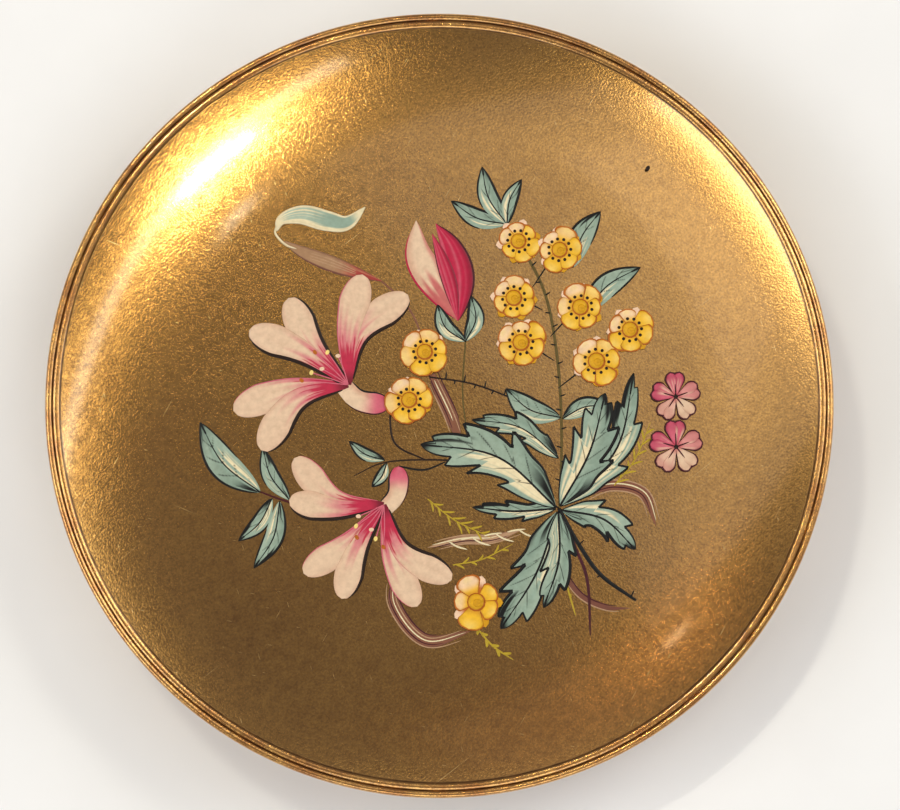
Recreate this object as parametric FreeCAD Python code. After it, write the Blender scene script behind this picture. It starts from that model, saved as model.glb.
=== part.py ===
"""Round brass powder compact: a domed lid with a mirror, a shallow base with a powder well, and a
self-opening inner lid under the mirror.

Frame: millimetres, +Z up. The origin is the centre of the flat foot, on the table. The hinge is at
the back (+Y) and the thumb catch at the front (-Y). The compact is modelled closed.
"""

import FreeCAD, Part
import math
import os

Vector = FreeCAD.Vector
X_AXIS = Vector(1, 0, 0)
Y_AXIS = Vector(0, 1, 0)
Z_AXIS = Vector(0, 0, 1)

# --- Driving dimensions: outer form ---------------------------------------------------------------
lid_diameter = 82.0  # over the lid's outer bead
base_depth = 7.0  # table to the top of the base's lip, where the two halves part
skirt_height = 3.5  # lid's lower edge to the centre of its outer bead
crown_rise = 2.65  # dome's edge to its top
sheet = 0.45  # brass of the lid
skirt_sheet = 0.4  # drawn a little thinner at the skirt
base_sheet = 0.5  # brass of the base
parting_gap = 0.1  # between the lid's edge and the base's lip

# --- Lid ------------------------------------------------------------------------------------------
outer_bead_r = 0.4  # section radius of the rolled outer bead
bead_stand = 0.3  # how far the outer bead stands out from the skirt
bead_wrap = 155.0  # degrees of the outer bead's section, from its outermost point to the first groove
inner_bead_width = 0.82  # step bead between the two grooves
inner_bead_rise = 0.2  # its crest above the grooves
flat_crown_r = 26.0  # where the nearly flat middle of the dome meets its shoulder
flat_crown_rise = 0.55  # rise of that middle part

# --- Mirror ---------------------------------------------------------------------------------------
frame_sheet = 0.3
frame_below_bead = 0.75  # mirror frame's underside below the outer bead's centre
mirror_thickness = 1.3
mirror_gap = 0.15  # between the mirror's upper edge and the dome
frame_overlap = 1.2  # how far the frame covers the mirror's edge
frame_roll_r = 0.3
card_thickness = 0.25
card_margin = 3.5

# --- Base -----------------------------------------------------------------------------------------
base_inset = 0.5  # base wall inside the lid's bead
foot_r = 27.0  # flat the compact stands on
underside_slope = 16.0  # degrees, where the underside meets the corner
base_wall = 1.05  # straight part of the base's wall
lip_height = 0.6
lip_stand = 0.3
skirt_clearance = 0.3  # collar to the inside of the lid's skirt
collar_thickness = 0.8
collar_stand = 2.2  # collar above the parting line
collar_drop = 3.6  # collar below the parting line

# --- Powder well, sifter and puff -----------------------------------------------------------------
well_r = 34.5  # outside of the well's upper wall
well_sheet = 0.4
well_step = 0.9  # ledge that carries the sifter
well_floor_gap = 0.2
deck_above_parting = 0.8  # top of the well's flange, which is the deck round the well
puff_space = 3.8  # ledge to the deck's top
sifter_section = 1.3  # width of the sifter ring
sifter_height = 1.1
sifter_clearance = 0.05
gauze_thickness = 0.1
powder_clearance = 0.1
powder_headroom = 0.3
powder_heap = 0.25  # heaped part of the powder's depth
puff_thickness = 3.0
puff_clearance = 2.0
puff_round = 1.2
ribbon_width = 11.0
ribbon_thickness = 0.2

# --- Inner lid ------------------------------------------------------------------------------------
inner_lid_r = 36.0
inner_lid_sheet = 0.4
inner_lid_gap = 0.1  # its rim above the deck
inner_lid_height = 1.1  # rim's edge to the plate's top
inner_lid_rim = 0.4
tab_width = 8.0
tab_sheet = 0.3
tab_reach = 1.2  # how far the nail tab stands out past the rim
tab_lift = 0.7  # how far its end turns up, to meet the mirror frame when the compact is shut
tab_length = 3.5
stamp_r = 28.8  # low ring stamped in the plate
stamp_half = 0.6

# --- Main hinge -----------------------------------------------------------------------------------
hinge_width = 13.0  # over the knuckles, short enough to stay under the lid's bead
hinge_barrel_r = 0.8
hinge_pin_r = 0.45
running_gap = 0.05  # radial, in the moving knuckles
knuckle_gap = 0.1
hinge_inset = 1.35  # hinge axis inside the lid's outermost radius
saddle_width = 19.0
saddle_thickness = 0.6
saddle_reach = 1.05  # inward from the hinge axis
saddle_back = 0.45  # outward from it
cheek_reach = 0.5  # blocks that close the notch beside the knuckles, inward from the axis
cheek_back = 0.15
cheek_rise = 0.5
saddle_gap = 0.1
notch_clearance = 0.3
hinge_tab_width = 16.0
hinge_tab_sheet = 0.4
hinge_tab_drop = 2.1

# --- Inner hinge ----------------------------------------------------------------------------------
inner_barrel_r = 0.7
inner_pin_r = 0.3
inner_hinge_width = 14.0
inner_end_knuckle = 2.5
inner_mid_knuckle = 2.5
inner_hinge_gap = 0.3  # barrel to the inner lid's rim
bracket_sheet = 0.2
bracket_setback = 1.25  # inside the main hinge axis
bracket_rivet_offset = 0.2  # behind the inner hinge axis
leaf_rivet_margin = 1.0
bracket_width = 19.6
leaf_sheet = 0.3
leaf_width = 8.6
leaf_length = 6.0
rivet_r = 0.4
rivet_head_r = 0.75
rivet_head = 0.3
leaf_rivet_spacing = 4.6
bracket_rivet_spacing = 17.0
spring_wire = 0.2
spring_gap = 0.1  # inside the coil, to the pin
spring_turns = 6

# --- Thumb catch ----------------------------------------------------------------------------------
button_width = 9.8
button_height = 1.8
button_stand = 0.15  # proud of the base's lip
button_depth = 1.95
button_top_gap = 0.1
button_side_gap = 0.2
button_ribs = 7
rib_cut_r = 0.22
slide_width = 4.0
slide_sheet = 0.5
slide_length = 1.9
slide_lift = 0.4  # its foot above the button's underside
catch_travel = 0.7
nose_reach = 0.7
nose_height = 0.4
latch_gap = 0.15  # nose above the strike's lip when shut
strike_width = 7.0
strike_sheet = 0.35
strike_lip = 0.7
strike_lip_thickness = 0.4
strike_lip_drop = 1.3  # below the collar's top
guide_sheet = 0.3
guide_clearance = 0.15
guide_end_gap = 0.3
catch_rivet_r = 0.25
catch_rivet_head_r = 0.35
catch_rivet_gap = 0.05
catch_spring_r = 0.6
catch_spring_wire = 0.2
catch_spring_turns = 5
spring_post_r = 0.3
spring_post_length = 0.8

# --- Derived radii and levels ---------------------------------------------------------------------
lid_r = lid_diameter / 2
skirt_r = lid_r - bead_stand
skirt_inner_r = skirt_r - skirt_sheet
parting_z = base_depth
lid_edge_z = parting_z + parting_gap
bead_z = lid_edge_z + skirt_height
bead_r = lid_r - outer_bead_r
wrap = math.radians(bead_wrap)
groove_r = bead_r + outer_bead_r * math.cos(wrap)
groove_z = bead_z + outer_bead_r * math.sin(wrap)
dome_r = groove_r - inner_bead_width
dome_z = groove_z
top_z = dome_z + crown_rise

base_r = lid_r - base_inset
base_inner_r = base_r - base_sheet
collar_r = min(skirt_inner_r - skirt_clearance, base_inner_r)
collar_inner_r = collar_r - collar_thickness
collar_top_z = parting_z + collar_stand

deck_z = parting_z + deck_above_parting
ledge_z = deck_z - puff_space
well_inner_r = well_r - well_sheet
lower_well_r = well_r - well_step
plate_top_z = deck_z + inner_lid_gap + inner_lid_height
frame_z = bead_z - frame_below_bead

hinge_y = lid_r - hinge_inset
hinge_z = parting_z
notch_half = saddle_width / 2 + notch_clearance
saddle_base_z = hinge_z - hinge_barrel_r - saddle_thickness
saddle_lid_z = hinge_z + hinge_barrel_r + saddle_thickness

inner_hinge_y = inner_lid_r + inner_barrel_r + inner_hinge_gap
inner_hinge_z = plate_top_z - bracket_sheet

button_top_z = parting_z - button_top_gap
button_z = button_top_z - button_height
button_r = base_r + lip_stand + button_stand
button_back_y = -(button_r - button_depth)
slot_half = button_width / 2 + button_side_gap
slide_z = button_z + slide_lift
strike_lip_z = collar_top_z - strike_lip_drop
nose_z = strike_lip_z + strike_lip_thickness + latch_gap
spring_axis_z = slide_z + slide_sheet
rivet_z = slide_z + slide_sheet + catch_rivet_head_r + catch_rivet_gap
tab_rivet_y = -(inner_lid_r - tab_length / 2)


# --- Helpers --------------------------------------------------------------------------------------
def point(r, z):
    """A point of a half section, in the plane y = 0."""
    return Vector(r, 0, z)


def revolve(section):
    """Turns a closed half section about Z. Each item is (r, z) for a straight run, or a pair of points
    for an arc through the first to the second."""
    first = section[0]
    here = point(*first)
    edges = []
    for item in section[1:] + [first]:
        if isinstance(item[0], tuple):
            middle, end = point(*item[0]), point(*item[1])
            edges.append(Part.Arc(here, middle, end).toShape())
        else:
            end = point(*item)
            if end.distanceToPoint(here) < 1e-6:
                continue
            edges.append(Part.LineSegment(here, end).toShape())
        here = end
    face = Part.Face(Part.Wire(edges))
    return face.revolve(Vector(0, 0, 0), Z_AXIS, 360)


def box(x, y, z):
    """A box from its (low, high) pairs along X, Y and Z."""
    return Part.makeBox(x[1] - x[0], y[1] - y[0], z[1] - z[0], Vector(x[0], y[0], z[0]))


def ring(inner, outer, low, high):
    tube = Part.makeCylinder(outer, high - low, Vector(0, 0, low))
    return tube.cut(Part.makeCylinder(inner, high - low, Vector(0, 0, low)))


def disc(radius, low, high):
    return Part.makeCylinder(radius, high - low, Vector(0, 0, low))


def rod_x(radius, x, y, z):
    """A cylinder along X between the pair x."""
    return Part.makeCylinder(radius, x[1] - x[0], Vector(x[0], y, z), X_AXIS)


def rivet(x, y, low, high):
    """A rivet along Z with a domed head above high and a flat one below low."""
    shank = Part.makeCylinder(rivet_r, high - low, Vector(x, y, low))
    ball_r = (rivet_head_r**2 + rivet_head**2) / (2 * rivet_head)
    ball = Part.makeSphere(ball_r, Vector(x, y, high + rivet_head - ball_r))
    head = ball.common(Part.makeCylinder(rivet_head_r, rivet_head, Vector(x, y, high)))
    foot = Part.makeCylinder(rivet_head_r, rivet_head / 3, Vector(x, y, low - rivet_head / 3))
    return shank.fuse([head, foot]).removeSplitter()


def rivet_hole(x, y):
    return Part.makeCylinder(rivet_r, top_z, Vector(x, y, 0))


def coil(radius, wire, length, turns, start, direction):
    """A helical spring of round wire, from start along direction."""
    helix = Part.makeHelix(length / turns, length, radius)
    profile = Part.Wire(Part.makeCircle(wire / 2, Vector(radius, 0, 0), Y_AXIS))
    spring = Part.Wire(helix).makePipeShell([profile], True, True)
    spring.Placement = FreeCAD.Placement(start, FreeCAD.Rotation(Z_AXIS, direction))
    return spring


def save(shape, name):
    solids = shape.Solids
    if not shape.isValid() or not solids or min(s.Volume for s in solids) <= 0:
        raise RuntimeError(name + " is not a sound solid")
    whole = solids[0] if len(solids) == 1 else Part.makeCompound(solids)
    whole.exportStep("parts/" + name + ".step")
    print(name, len(solids), round(sum(s.Volume for s in solids), 2))


# --- Dome: a nearly flat middle and a rounder shoulder, tangent to each other ---------------------
def dome_arcs():
    """Radii and centre heights of the dome's two arcs, and their edge angles."""
    crown_arc_r = (flat_crown_r**2 + flat_crown_rise**2) / (2 * flat_crown_rise)
    start = math.asin(flat_crown_r / crown_arc_r)
    run = dome_r - flat_crown_r
    drop = crown_rise - flat_crown_rise
    end = 2 * math.atan(drop / run) - start
    shoulder_arc_r = run / (math.sin(end) - math.sin(start))
    crown_centre = (0.0, top_z - crown_arc_r)
    reach = crown_arc_r - shoulder_arc_r
    shoulder_centre = (reach * math.sin(start), crown_centre[1] + reach * math.cos(start))
    return crown_arc_r, start, shoulder_arc_r, end, crown_centre, shoulder_centre


crown_arc_r, crown_edge, shoulder_arc_r, dome_edge, crown_centre, shoulder_centre = dome_arcs()


def on_arc(centre, radius, angle):
    """A point at an angle from straight up."""
    return (centre[0] + radius * math.sin(angle), centre[1] + radius * math.cos(angle))


def underside_radius(z):
    """Radius at which the dome's underside, on its shoulder, is at height z."""
    reach = shoulder_arc_r - sheet
    return shoulder_centre[0] + math.sqrt(reach**2 - (z - shoulder_centre[1]) ** 2)


mirror_z = frame_z + frame_sheet
mirror_top_z = mirror_z + mirror_thickness
mirror_r = underside_radius(mirror_top_z + mirror_gap)
frame_inner_r = mirror_r - frame_overlap


# --- Base section: flat foot, shallow underside, corner, wall and lip -----------------------------
def base_arcs():
    """Radii of the underside and corner arcs, and the corner's start, for the base's depth."""
    slope = math.radians(underside_slope)
    room = base_depth - base_wall - lip_height - (base_r - foot_r) * math.tan(slope / 2)
    corner_r = room / (math.cos(slope) - (1 - math.sin(slope)) * math.tan(slope / 2))
    corner_start = base_r - corner_r * (1 - math.sin(slope))
    underside_r = (corner_start - foot_r) / math.sin(slope)
    return slope, corner_r, underside_r


base_slope, corner_r, underside_r = base_arcs()
wall_z = base_depth - base_wall - lip_height
lip_z = base_depth - lip_height


def base_curve(inset):
    """The base's section from its wall down to the edge of its foot, moved in by inset."""
    corner_centre = (base_r - corner_r, wall_z)
    underside_centre = (foot_r, underside_r)
    quarter = math.pi / 2
    middle = (base_slope + quarter) / 2
    low = corner_r - inset
    wide = underside_r - inset

    def below(centre, radius, angle):
        return (centre[0] + radius * math.sin(angle), centre[1] - radius * math.cos(angle))

    corner = (below(corner_centre, low, middle), below(corner_centre, low, base_slope))
    underside = (below(underside_centre, wide, base_slope / 2), below(underside_centre, wide, 0))
    return [(base_r - inset, wall_z), corner, underside]


def base_inside_z(r):
    """Height of the base's inner face at radius r, on the shallow part."""
    return underside_r - math.sqrt((underside_r - base_sheet) ** 2 - (r - foot_r) ** 2)


well_floor_z = base_inside_z(lower_well_r) + well_floor_gap
well_floor_top = well_floor_z + well_sheet
base_cavity = revolve([(0, base_sheet), (0, top_z), (base_r - base_sheet, top_z)] + base_curve(base_sheet))
notch_y = (hinge_y - saddle_reach - saddle_gap, lid_r + 1)
hinge_notch = box((-notch_half, notch_half), notch_y, (saddle_base_z, saddle_lid_z))
slot_y = (-lid_r - 1, button_back_y + button_top_gap)
catch_slot = box((-slot_half, slot_half), slot_y, (button_z - button_top_gap, top_z))


# --- Lid body -------------------------------------------------------------------------------------
def lid_shell():
    """Pressed lid: skirt, rolled outer bead, step bead between two grooves, and the dome."""
    foot_of_bead = bead_z - math.sqrt(outer_bead_r**2 - (skirt_r - bead_r) ** 2)
    bead_crest = ((groove_r + dome_r) / 2, groove_z + inner_bead_rise)
    middle = (crown_edge + dome_edge) / 2
    inner_shoulder = shoulder_arc_r - sheet
    inner_crown = crown_arc_r - sheet

    def shoulder(radius, angle):
        return on_arc(shoulder_centre, radius, angle)

    def crown(radius, angle):
        return on_arc(crown_centre, radius, angle)

    section = [
        (skirt_r, lid_edge_z),
        (skirt_r, foot_of_bead),
        ((lid_r, bead_z), (groove_r, groove_z)),
        (bead_crest, (dome_r, dome_z)),
        (shoulder(shoulder_arc_r, middle), shoulder(shoulder_arc_r, crown_edge)),
        (crown(crown_arc_r, crown_edge / 2), (0, top_z)),
        (0, top_z - sheet),
        (crown(inner_crown, crown_edge / 2), crown(inner_crown, crown_edge)),
        (shoulder(inner_shoulder, middle), shoulder(inner_shoulder, dome_edge)),
        (skirt_inner_r, bead_z - sheet / 2),
        (skirt_inner_r, lid_edge_z),
    ]
    return revolve(section).cut(hinge_notch)


def mirror_frame():
    """Flat brass ring that fills the lid and holds the mirror by its edge, with a rolled inner edge."""
    roll_r = frame_inner_r + frame_roll_r
    section = [
        (skirt_inner_r, frame_z),
        (skirt_inner_r, mirror_z),
        (roll_r, mirror_z),
        ((frame_inner_r, mirror_z - frame_roll_r), (roll_r, mirror_z - 2 * frame_roll_r)),
        (roll_r + frame_roll_r, frame_z),
    ]
    return revolve(section)


def mirror():
    """Silvered glass with a ground edge."""
    glass = disc(mirror_r, mirror_z, mirror_top_z)
    return glass.makeChamfer(mirror_gap, glass.Edges)


def mirror_card():
    return disc(mirror_r - card_margin, mirror_top_z, mirror_top_z + card_thickness)


def strike_shape():
    """Spring steel tongue inside the front of the skirt, with the lip that the catch holds down."""
    half = strike_width / 2
    inner = skirt_inner_r - strike_sheet
    tongue = ring(inner, skirt_inner_r, strike_lip_z, frame_z)
    tongue = tongue.common(box((-half, half), (-lid_r, 0), (0, top_z)))
    lip_y = (-inner - strike_sheet / 2, -inner + strike_lip)
    lip = box((-half, half), lip_y, (strike_lip_z, strike_lip_z + strike_lip_thickness))
    lip = lip.common(disc(skirt_inner_r, strike_lip_z, frame_z))
    return tongue.fuse(lip).removeSplitter()


# --- Main hinge -----------------------------------------------------------------------------------
def knuckle_spans(count, width, gap):
    """(low, high) of each knuckle along X, left to right."""
    length = (width - gap * (count - 1)) / count
    starts = [-width / 2 + k * (length + gap) for k in range(count)]
    return [(start, start + length) for start in starts]


MAIN_KNUCKLES = 5


def hinge_half(first, bore, saddle, web_z, tab):
    """Every second knuckle from the first, webbed to a saddle plate with a curved tab for soldering."""
    spans = knuckle_spans(MAIN_KNUCKLES, hinge_width, knuckle_gap)[first::2]
    barrels = [rod_x(hinge_barrel_r, span, hinge_y, hinge_z) for span in spans]
    web_y = (hinge_y - hinge_barrel_r / 2, hinge_y + hinge_barrel_r / 2)
    webs = [box(span, web_y, web_z) for span in spans]
    solid = saddle_plate(*saddle).fuse(barrels + webs + [tab])
    pin_way = rod_x(hinge_pin_r + bore, (-hinge_width, hinge_width), hinge_y, hinge_z)
    return solid.cut(pin_way).removeSplitter()


def saddle_plate(low, high):
    """Flat strip along the barrel, trimmed to the skirt's circle at its outer side."""
    half = saddle_width / 2
    plate = box((-half, half), (hinge_y - saddle_reach, hinge_y + saddle_back), (low, high))
    return plate.common(disc(base_r - running_gap, low, high))


def curved_tab(inner, outer, low, high):
    half = hinge_tab_width / 2
    return ring(inner, outer, low, high).common(box((-half, half), (0, lid_r), (low, high)))


def base_hinge_leaf():
    low = saddle_base_z - hinge_tab_drop
    high = saddle_base_z + saddle_thickness
    tab = curved_tab(collar_inner_r - hinge_tab_sheet, collar_inner_r, low, high)
    saddle = (saddle_base_z, high)
    half = hinge_half(0, 0, saddle, (saddle_base_z, hinge_z), tab.common(base_cavity))
    cheek_y = (hinge_y - cheek_reach, hinge_y + cheek_back)
    cheek_z = (saddle_base_z, hinge_z + cheek_rise)
    right = (hinge_width / 2, saddle_width / 2)
    left = (-saddle_width / 2, -hinge_width / 2)
    return half.fuse([box(span, cheek_y, cheek_z) for span in (left, right)]).removeSplitter()


def lid_hinge_leaf():
    low = saddle_lid_z - saddle_thickness
    tab = curved_tab(skirt_inner_r - hinge_tab_sheet, skirt_inner_r, low, frame_z)
    return hinge_half(1, running_gap, (low, saddle_lid_z), (hinge_z, saddle_lid_z), tab)


def hinge_pin():
    return rod_x(hinge_pin_r, (-hinge_width / 2, hinge_width / 2), hinge_y, hinge_z)


# --- Base body ------------------------------------------------------------------------------------
def base_shell():
    """Pressed dish with a flat foot, a rounded corner and a half-round lip."""
    section = [(0, 0), (0, base_sheet), (foot_r, base_sheet)]
    inner = base_curve(base_sheet)
    outer = base_curve(0)
    inner_up = [
        (inner[2][0], inner[1][1]),
        (inner[1][0], inner[0]),
        (base_inner_r, base_depth),
        (base_r, base_depth),
        ((base_r + lip_stand, base_depth - lip_height / 2), (base_r, lip_z)),
    ]
    return revolve(section + inner_up + outer).cut(hinge_notch).cut(catch_slot)


def base_collar():
    """Band soldered inside the base's wall, which the lid's skirt closes over, open at the hinge and
    catch."""
    band = ring(collar_inner_r, base_inner_r, parting_z - collar_drop, parting_z)
    band = band.fuse(ring(collar_inner_r, collar_r, parting_z, collar_top_z)).common(base_cavity)
    hinge_gap = box((-notch_half, notch_half), (0, lid_r), (saddle_base_z, top_z))
    return band.removeSplitter().cut(hinge_gap).cut(catch_slot)


def powder_well():
    """Pressed cup with a ledge for the sifter, and a flange that makes the deck out to the collar."""
    lower_inner = lower_well_r - well_sheet
    section = [
        (0, well_floor_z),
        (lower_well_r, well_floor_z),
        (lower_well_r, ledge_z - well_sheet),
        (well_r, ledge_z - well_sheet),
        (well_r, deck_z - well_sheet),
        (collar_inner_r, deck_z - well_sheet),
        (collar_inner_r, deck_z),
        (well_inner_r, deck_z),
        (well_inner_r, ledge_z),
        (lower_inner, ledge_z),
        (lower_inner, well_floor_top),
        (0, well_floor_top),
    ]
    half = slide_width / 2 + button_side_gap
    slide_back = button_back_y + slide_sheet + catch_travel
    slide_way = (button_back_y - guide_end_gap, slide_back + guide_end_gap)
    hook_slot = box((-half, half), slide_way, (deck_z - 2 * well_sheet, top_z))
    cup = revolve(section).cut(hinge_notch).cut(hook_slot)
    return cup.cut([rivet_hole(x, bracket_rivet_y) for x in bracket_rivet_x])


def sifter_ring():
    """Angle-section ring that drops onto the well's ledge and stretches the gauze."""
    outer = well_inner_r - sifter_clearance
    inner = outer - sifter_section
    section = [
        (inner, ledge_z),
        (outer, ledge_z),
        (outer, ledge_z + sifter_height),
        (outer - well_sheet, ledge_z + sifter_height),
        (outer - well_sheet, ledge_z + well_sheet),
        (inner, ledge_z + well_sheet),
    ]
    return revolve(section)


def sifter_gauze():
    radius = well_inner_r - sifter_clearance - well_sheet
    low = ledge_z + well_sheet
    return disc(radius, low, low + gauze_thickness)


def loose_powder():
    """Face powder filling the well under the sifter, a little heaped in the middle."""
    radius = lower_well_r - well_sheet - powder_clearance
    top = ledge_z - powder_headroom
    heap = (top - well_floor_top) * powder_heap
    heap_r = (radius**2 + heap**2) / (2 * heap)
    middle = on_arc((0, top - heap_r), heap_r, math.asin(radius / heap_r) / 2)
    section = [(0, well_floor_top), (radius, well_floor_top), (radius, top - heap), (middle, (0, top))]
    return revolve(section)


puff_z = ledge_z + well_sheet + gauze_thickness
puff_r = well_inner_r - puff_clearance


def powder_puff():
    """Round velour pad resting on the gauze."""
    pad = disc(puff_r, puff_z, puff_z + puff_thickness)
    rims = [e for e in pad.Edges if e.Closed and e.Length > 1]
    return pad.makeFillet(puff_round, rims)


def puff_ribbon():
    """Satin band across the puff, for the fingers."""
    half = ribbon_width / 2
    low = puff_z + puff_thickness
    reach = puff_r - puff_round
    band = box((-half, half), (-reach, reach), (low, low + ribbon_thickness))
    return band.common(disc(reach, low, low + ribbon_thickness))


# --- Inner hinge ----------------------------------------------------------------------------------
bracket_rivet_x = (-bracket_rivet_spacing / 2, bracket_rivet_spacing / 2)
bracket_back_y = hinge_y - bracket_setback
bracket_rivet_y = inner_hinge_y + bracket_rivet_offset
leaf_rivet_x = (-leaf_rivet_spacing / 2, leaf_rivet_spacing / 2)
leaf_rivet_y = inner_lid_r - leaf_length / 2 - leaf_rivet_margin
end_spans = [
    (-inner_hinge_width / 2, -inner_hinge_width / 2 + inner_end_knuckle),
    (inner_hinge_width / 2 - inner_end_knuckle, inner_hinge_width / 2),
]
mid_spans = [
    (end_spans[0][1] + knuckle_gap, end_spans[0][1] + knuckle_gap + inner_mid_knuckle),
    (end_spans[1][0] - knuckle_gap - inner_mid_knuckle, end_spans[1][0] - knuckle_gap),
]


def inner_hinge_bracket():
    """Foot plate riveted to the deck, carrying the two end knuckles."""
    foot = box(
        (-bracket_width / 2, bracket_width / 2),
        (inner_hinge_y - inner_barrel_r + running_gap, bracket_back_y),
        (deck_z, deck_z + bracket_sheet),
    )
    knuckles = []
    for span in end_spans:
        knuckles.append(rod_x(inner_barrel_r, span, inner_hinge_y, inner_hinge_z))
        web_y = (inner_hinge_y - inner_barrel_r / 2, inner_hinge_y + inner_barrel_r / 2)
        knuckles.append(box(span, web_y, (deck_z, inner_hinge_z)))
    solid = foot.fuse(knuckles)
    solid = solid.cut(rod_x(inner_pin_r, (-lid_r, lid_r), inner_hinge_y, inner_hinge_z))
    return solid.cut([rivet_hole(x, bracket_rivet_y) for x in bracket_rivet_x]).removeSplitter()


def bracket_rivets():
    low = deck_z - well_sheet
    high = deck_z + bracket_sheet
    return Part.makeCompound([rivet(x, bracket_rivet_y, low, high) for x in bracket_rivet_x])


def inner_hinge_pin():
    span = (-inner_hinge_width / 2, inner_hinge_width / 2)
    return rod_x(inner_pin_r, span, inner_hinge_y, inner_hinge_z)


def lift_spring():
    """Torsion spring round the pin, which raises the inner lid as the outer one opens."""
    radius = inner_pin_r + spring_gap + spring_wire / 2
    low = mid_spans[0][1] + knuckle_gap + spring_wire / 2
    high = mid_spans[1][0] - knuckle_gap - spring_wire / 2
    start = Vector(low, inner_hinge_y, inner_hinge_z)
    return coil(radius, spring_wire, high - low, spring_turns, start, X_AXIS)


# --- Inner lid body -------------------------------------------------------------------------------
def inner_lid():
    """Shallow pressed plate with a turned-down rim and a low stamped ring."""
    low = deck_z + inner_lid_gap
    under = plate_top_z - inner_lid_sheet
    section = [
        (0, under),
        (inner_lid_r - inner_lid_rim, under),
        (inner_lid_r - inner_lid_rim, low),
        (inner_lid_r, low),
        (inner_lid_r, plate_top_z - inner_lid_sheet / 2),
        (inner_lid_r - inner_lid_sheet / 2, plate_top_z),
        (stamp_r + stamp_half, plate_top_z),
        ((stamp_r, plate_top_z - inner_lid_sheet / 3), (stamp_r - stamp_half, plate_top_z)),
        (0, plate_top_z),
    ]
    plate = revolve(section)
    holes = [rivet_hole(x, leaf_rivet_y) for x in leaf_rivet_x]
    holes.append(rivet_hole(0, tab_rivet_y))
    return plate.cut(holes)


def inner_lid_hinge_leaf():
    """Strip on the inner lid's back edge, rolled into the two middle knuckles."""
    half = leaf_width / 2
    front_y = inner_lid_r - leaf_length
    leaf = box((-half, half), (front_y, inner_lid_r), (plate_top_z, plate_top_z + leaf_sheet))
    parts = []
    for span in mid_spans:
        inside = (max(span[0], -half), min(span[1], half))
        parts.append(rod_x(inner_barrel_r, span, inner_hinge_y, inner_hinge_z))
        parts.append(box(inside, (inner_lid_r, inner_hinge_y), (plate_top_z, plate_top_z + leaf_sheet)))
    solid = leaf.fuse(parts)
    way = inner_pin_r + running_gap
    solid = solid.cut(rod_x(way, (-lid_r, lid_r), inner_hinge_y, inner_hinge_z))
    return solid.cut([rivet_hole(x, leaf_rivet_y) for x in leaf_rivet_x]).removeSplitter()


def inner_lid_rivets():
    low = plate_top_z - inner_lid_sheet
    pair = [rivet(x, leaf_rivet_y, low, plate_top_z + leaf_sheet) for x in leaf_rivet_x]
    return Part.makeCompound(pair + [rivet(0, tab_rivet_y, low, plate_top_z + tab_sheet)])


def inner_lid_tab():
    """Nail tab at the front edge. Its end turns up, and the shut mirror frame holds it down."""
    half = tab_width / 2
    end_y = -(inner_lid_r + tab_reach)
    flat_y = (end_y, end_y + tab_reach + tab_length)
    flat = box((-half, half), flat_y, (plate_top_z, plate_top_z + tab_sheet))
    corner = box((-half, half), (end_y, end_y + tab_sheet), (plate_top_z, plate_top_z + tab_lift))
    solid = flat.fuse(corner).removeSplitter()
    return solid.cut(rivet_hole(0, tab_rivet_y))


# --- Thumb catch body -----------------------------------------------------------------------------
def catch_button():
    """Thumb piece in the base's wall, with upright ribs on its curved face."""
    half = button_width / 2
    button = disc(button_r, button_z, button_top_z)
    button = button.common(box((-half, half), (-lid_r - 1, button_back_y), (0, top_z)))
    pitch = button_width / (button_ribs + 1)
    cuts = []
    for k in range(button_ribs):
        x = -half + pitch * (k + 1)
        y = -math.sqrt(button_r**2 - x**2)
        cuts.append(Part.makeCylinder(rib_cut_r, top_z, Vector(x, y, 0)))
    start = Vector(0, button_back_y - button_depth / 2, rivet_z)
    hole = Part.makeCylinder(catch_rivet_r, button_depth, start, Y_AXIS)
    return button.cut(cuts + [hole])


def catch_slide():
    """Bent steel strip behind the button: a nose at its top, and a foot that slides in the guide."""
    half = slide_width / 2
    back = button_back_y + slide_sheet
    upright = box((-half, half), (button_back_y, back), (slide_z, nose_z + nose_height))
    nose = box((-half, half), (button_back_y - nose_reach, button_back_y), (nose_z, nose_z + nose_height))
    foot = box((-half, half), (back, back + slide_length), (slide_z, slide_z + slide_sheet))
    post_y = back + slide_length
    post = Part.makeCylinder(spring_post_r, spring_post_length, Vector(0, post_y, spring_axis_z), Y_AXIS)
    end_z = (slide_z, slide_z + 2 * slide_sheet)
    end = box((-spring_post_r, spring_post_r), (post_y - slide_sheet, post_y), end_z)
    solid = upright.fuse([nose, foot, post, end]).removeSplitter()
    hole = Part.makeCylinder(catch_rivet_r, slide_sheet, Vector(0, button_back_y, rivet_z), Y_AXIS)
    return solid.cut(hole)


def catch_rivet():
    """Short rivet holding the strip to the back of the button."""
    shank_length = button_depth / 2 + slide_sheet
    start = Vector(0, button_back_y - button_depth / 2, rivet_z)
    shank = Part.makeCylinder(catch_rivet_r, shank_length, start, Y_AXIS)
    head_y = button_back_y + slide_sheet
    head = Part.makeCylinder(catch_rivet_head_r, rivet_head / 2, Vector(0, head_y, rivet_z), Y_AXIS)
    return shank.fuse(head).removeSplitter()


def catch_guide():
    """Channel under the deck that the strip's foot slides in."""
    half = slide_width / 2 + guide_clearance
    outer = half + guide_sheet
    front = button_back_y + slide_sheet + catch_travel + guide_end_gap
    back = -(well_r + well_sheet)
    floor_z = slide_z - guide_clearance - guide_sheet
    channel = box((-outer, outer), (front, back), (floor_z, deck_z - well_sheet))
    return channel.cut(box((-half, half), (front, back), (floor_z + guide_sheet, deck_z - well_sheet)))


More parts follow.
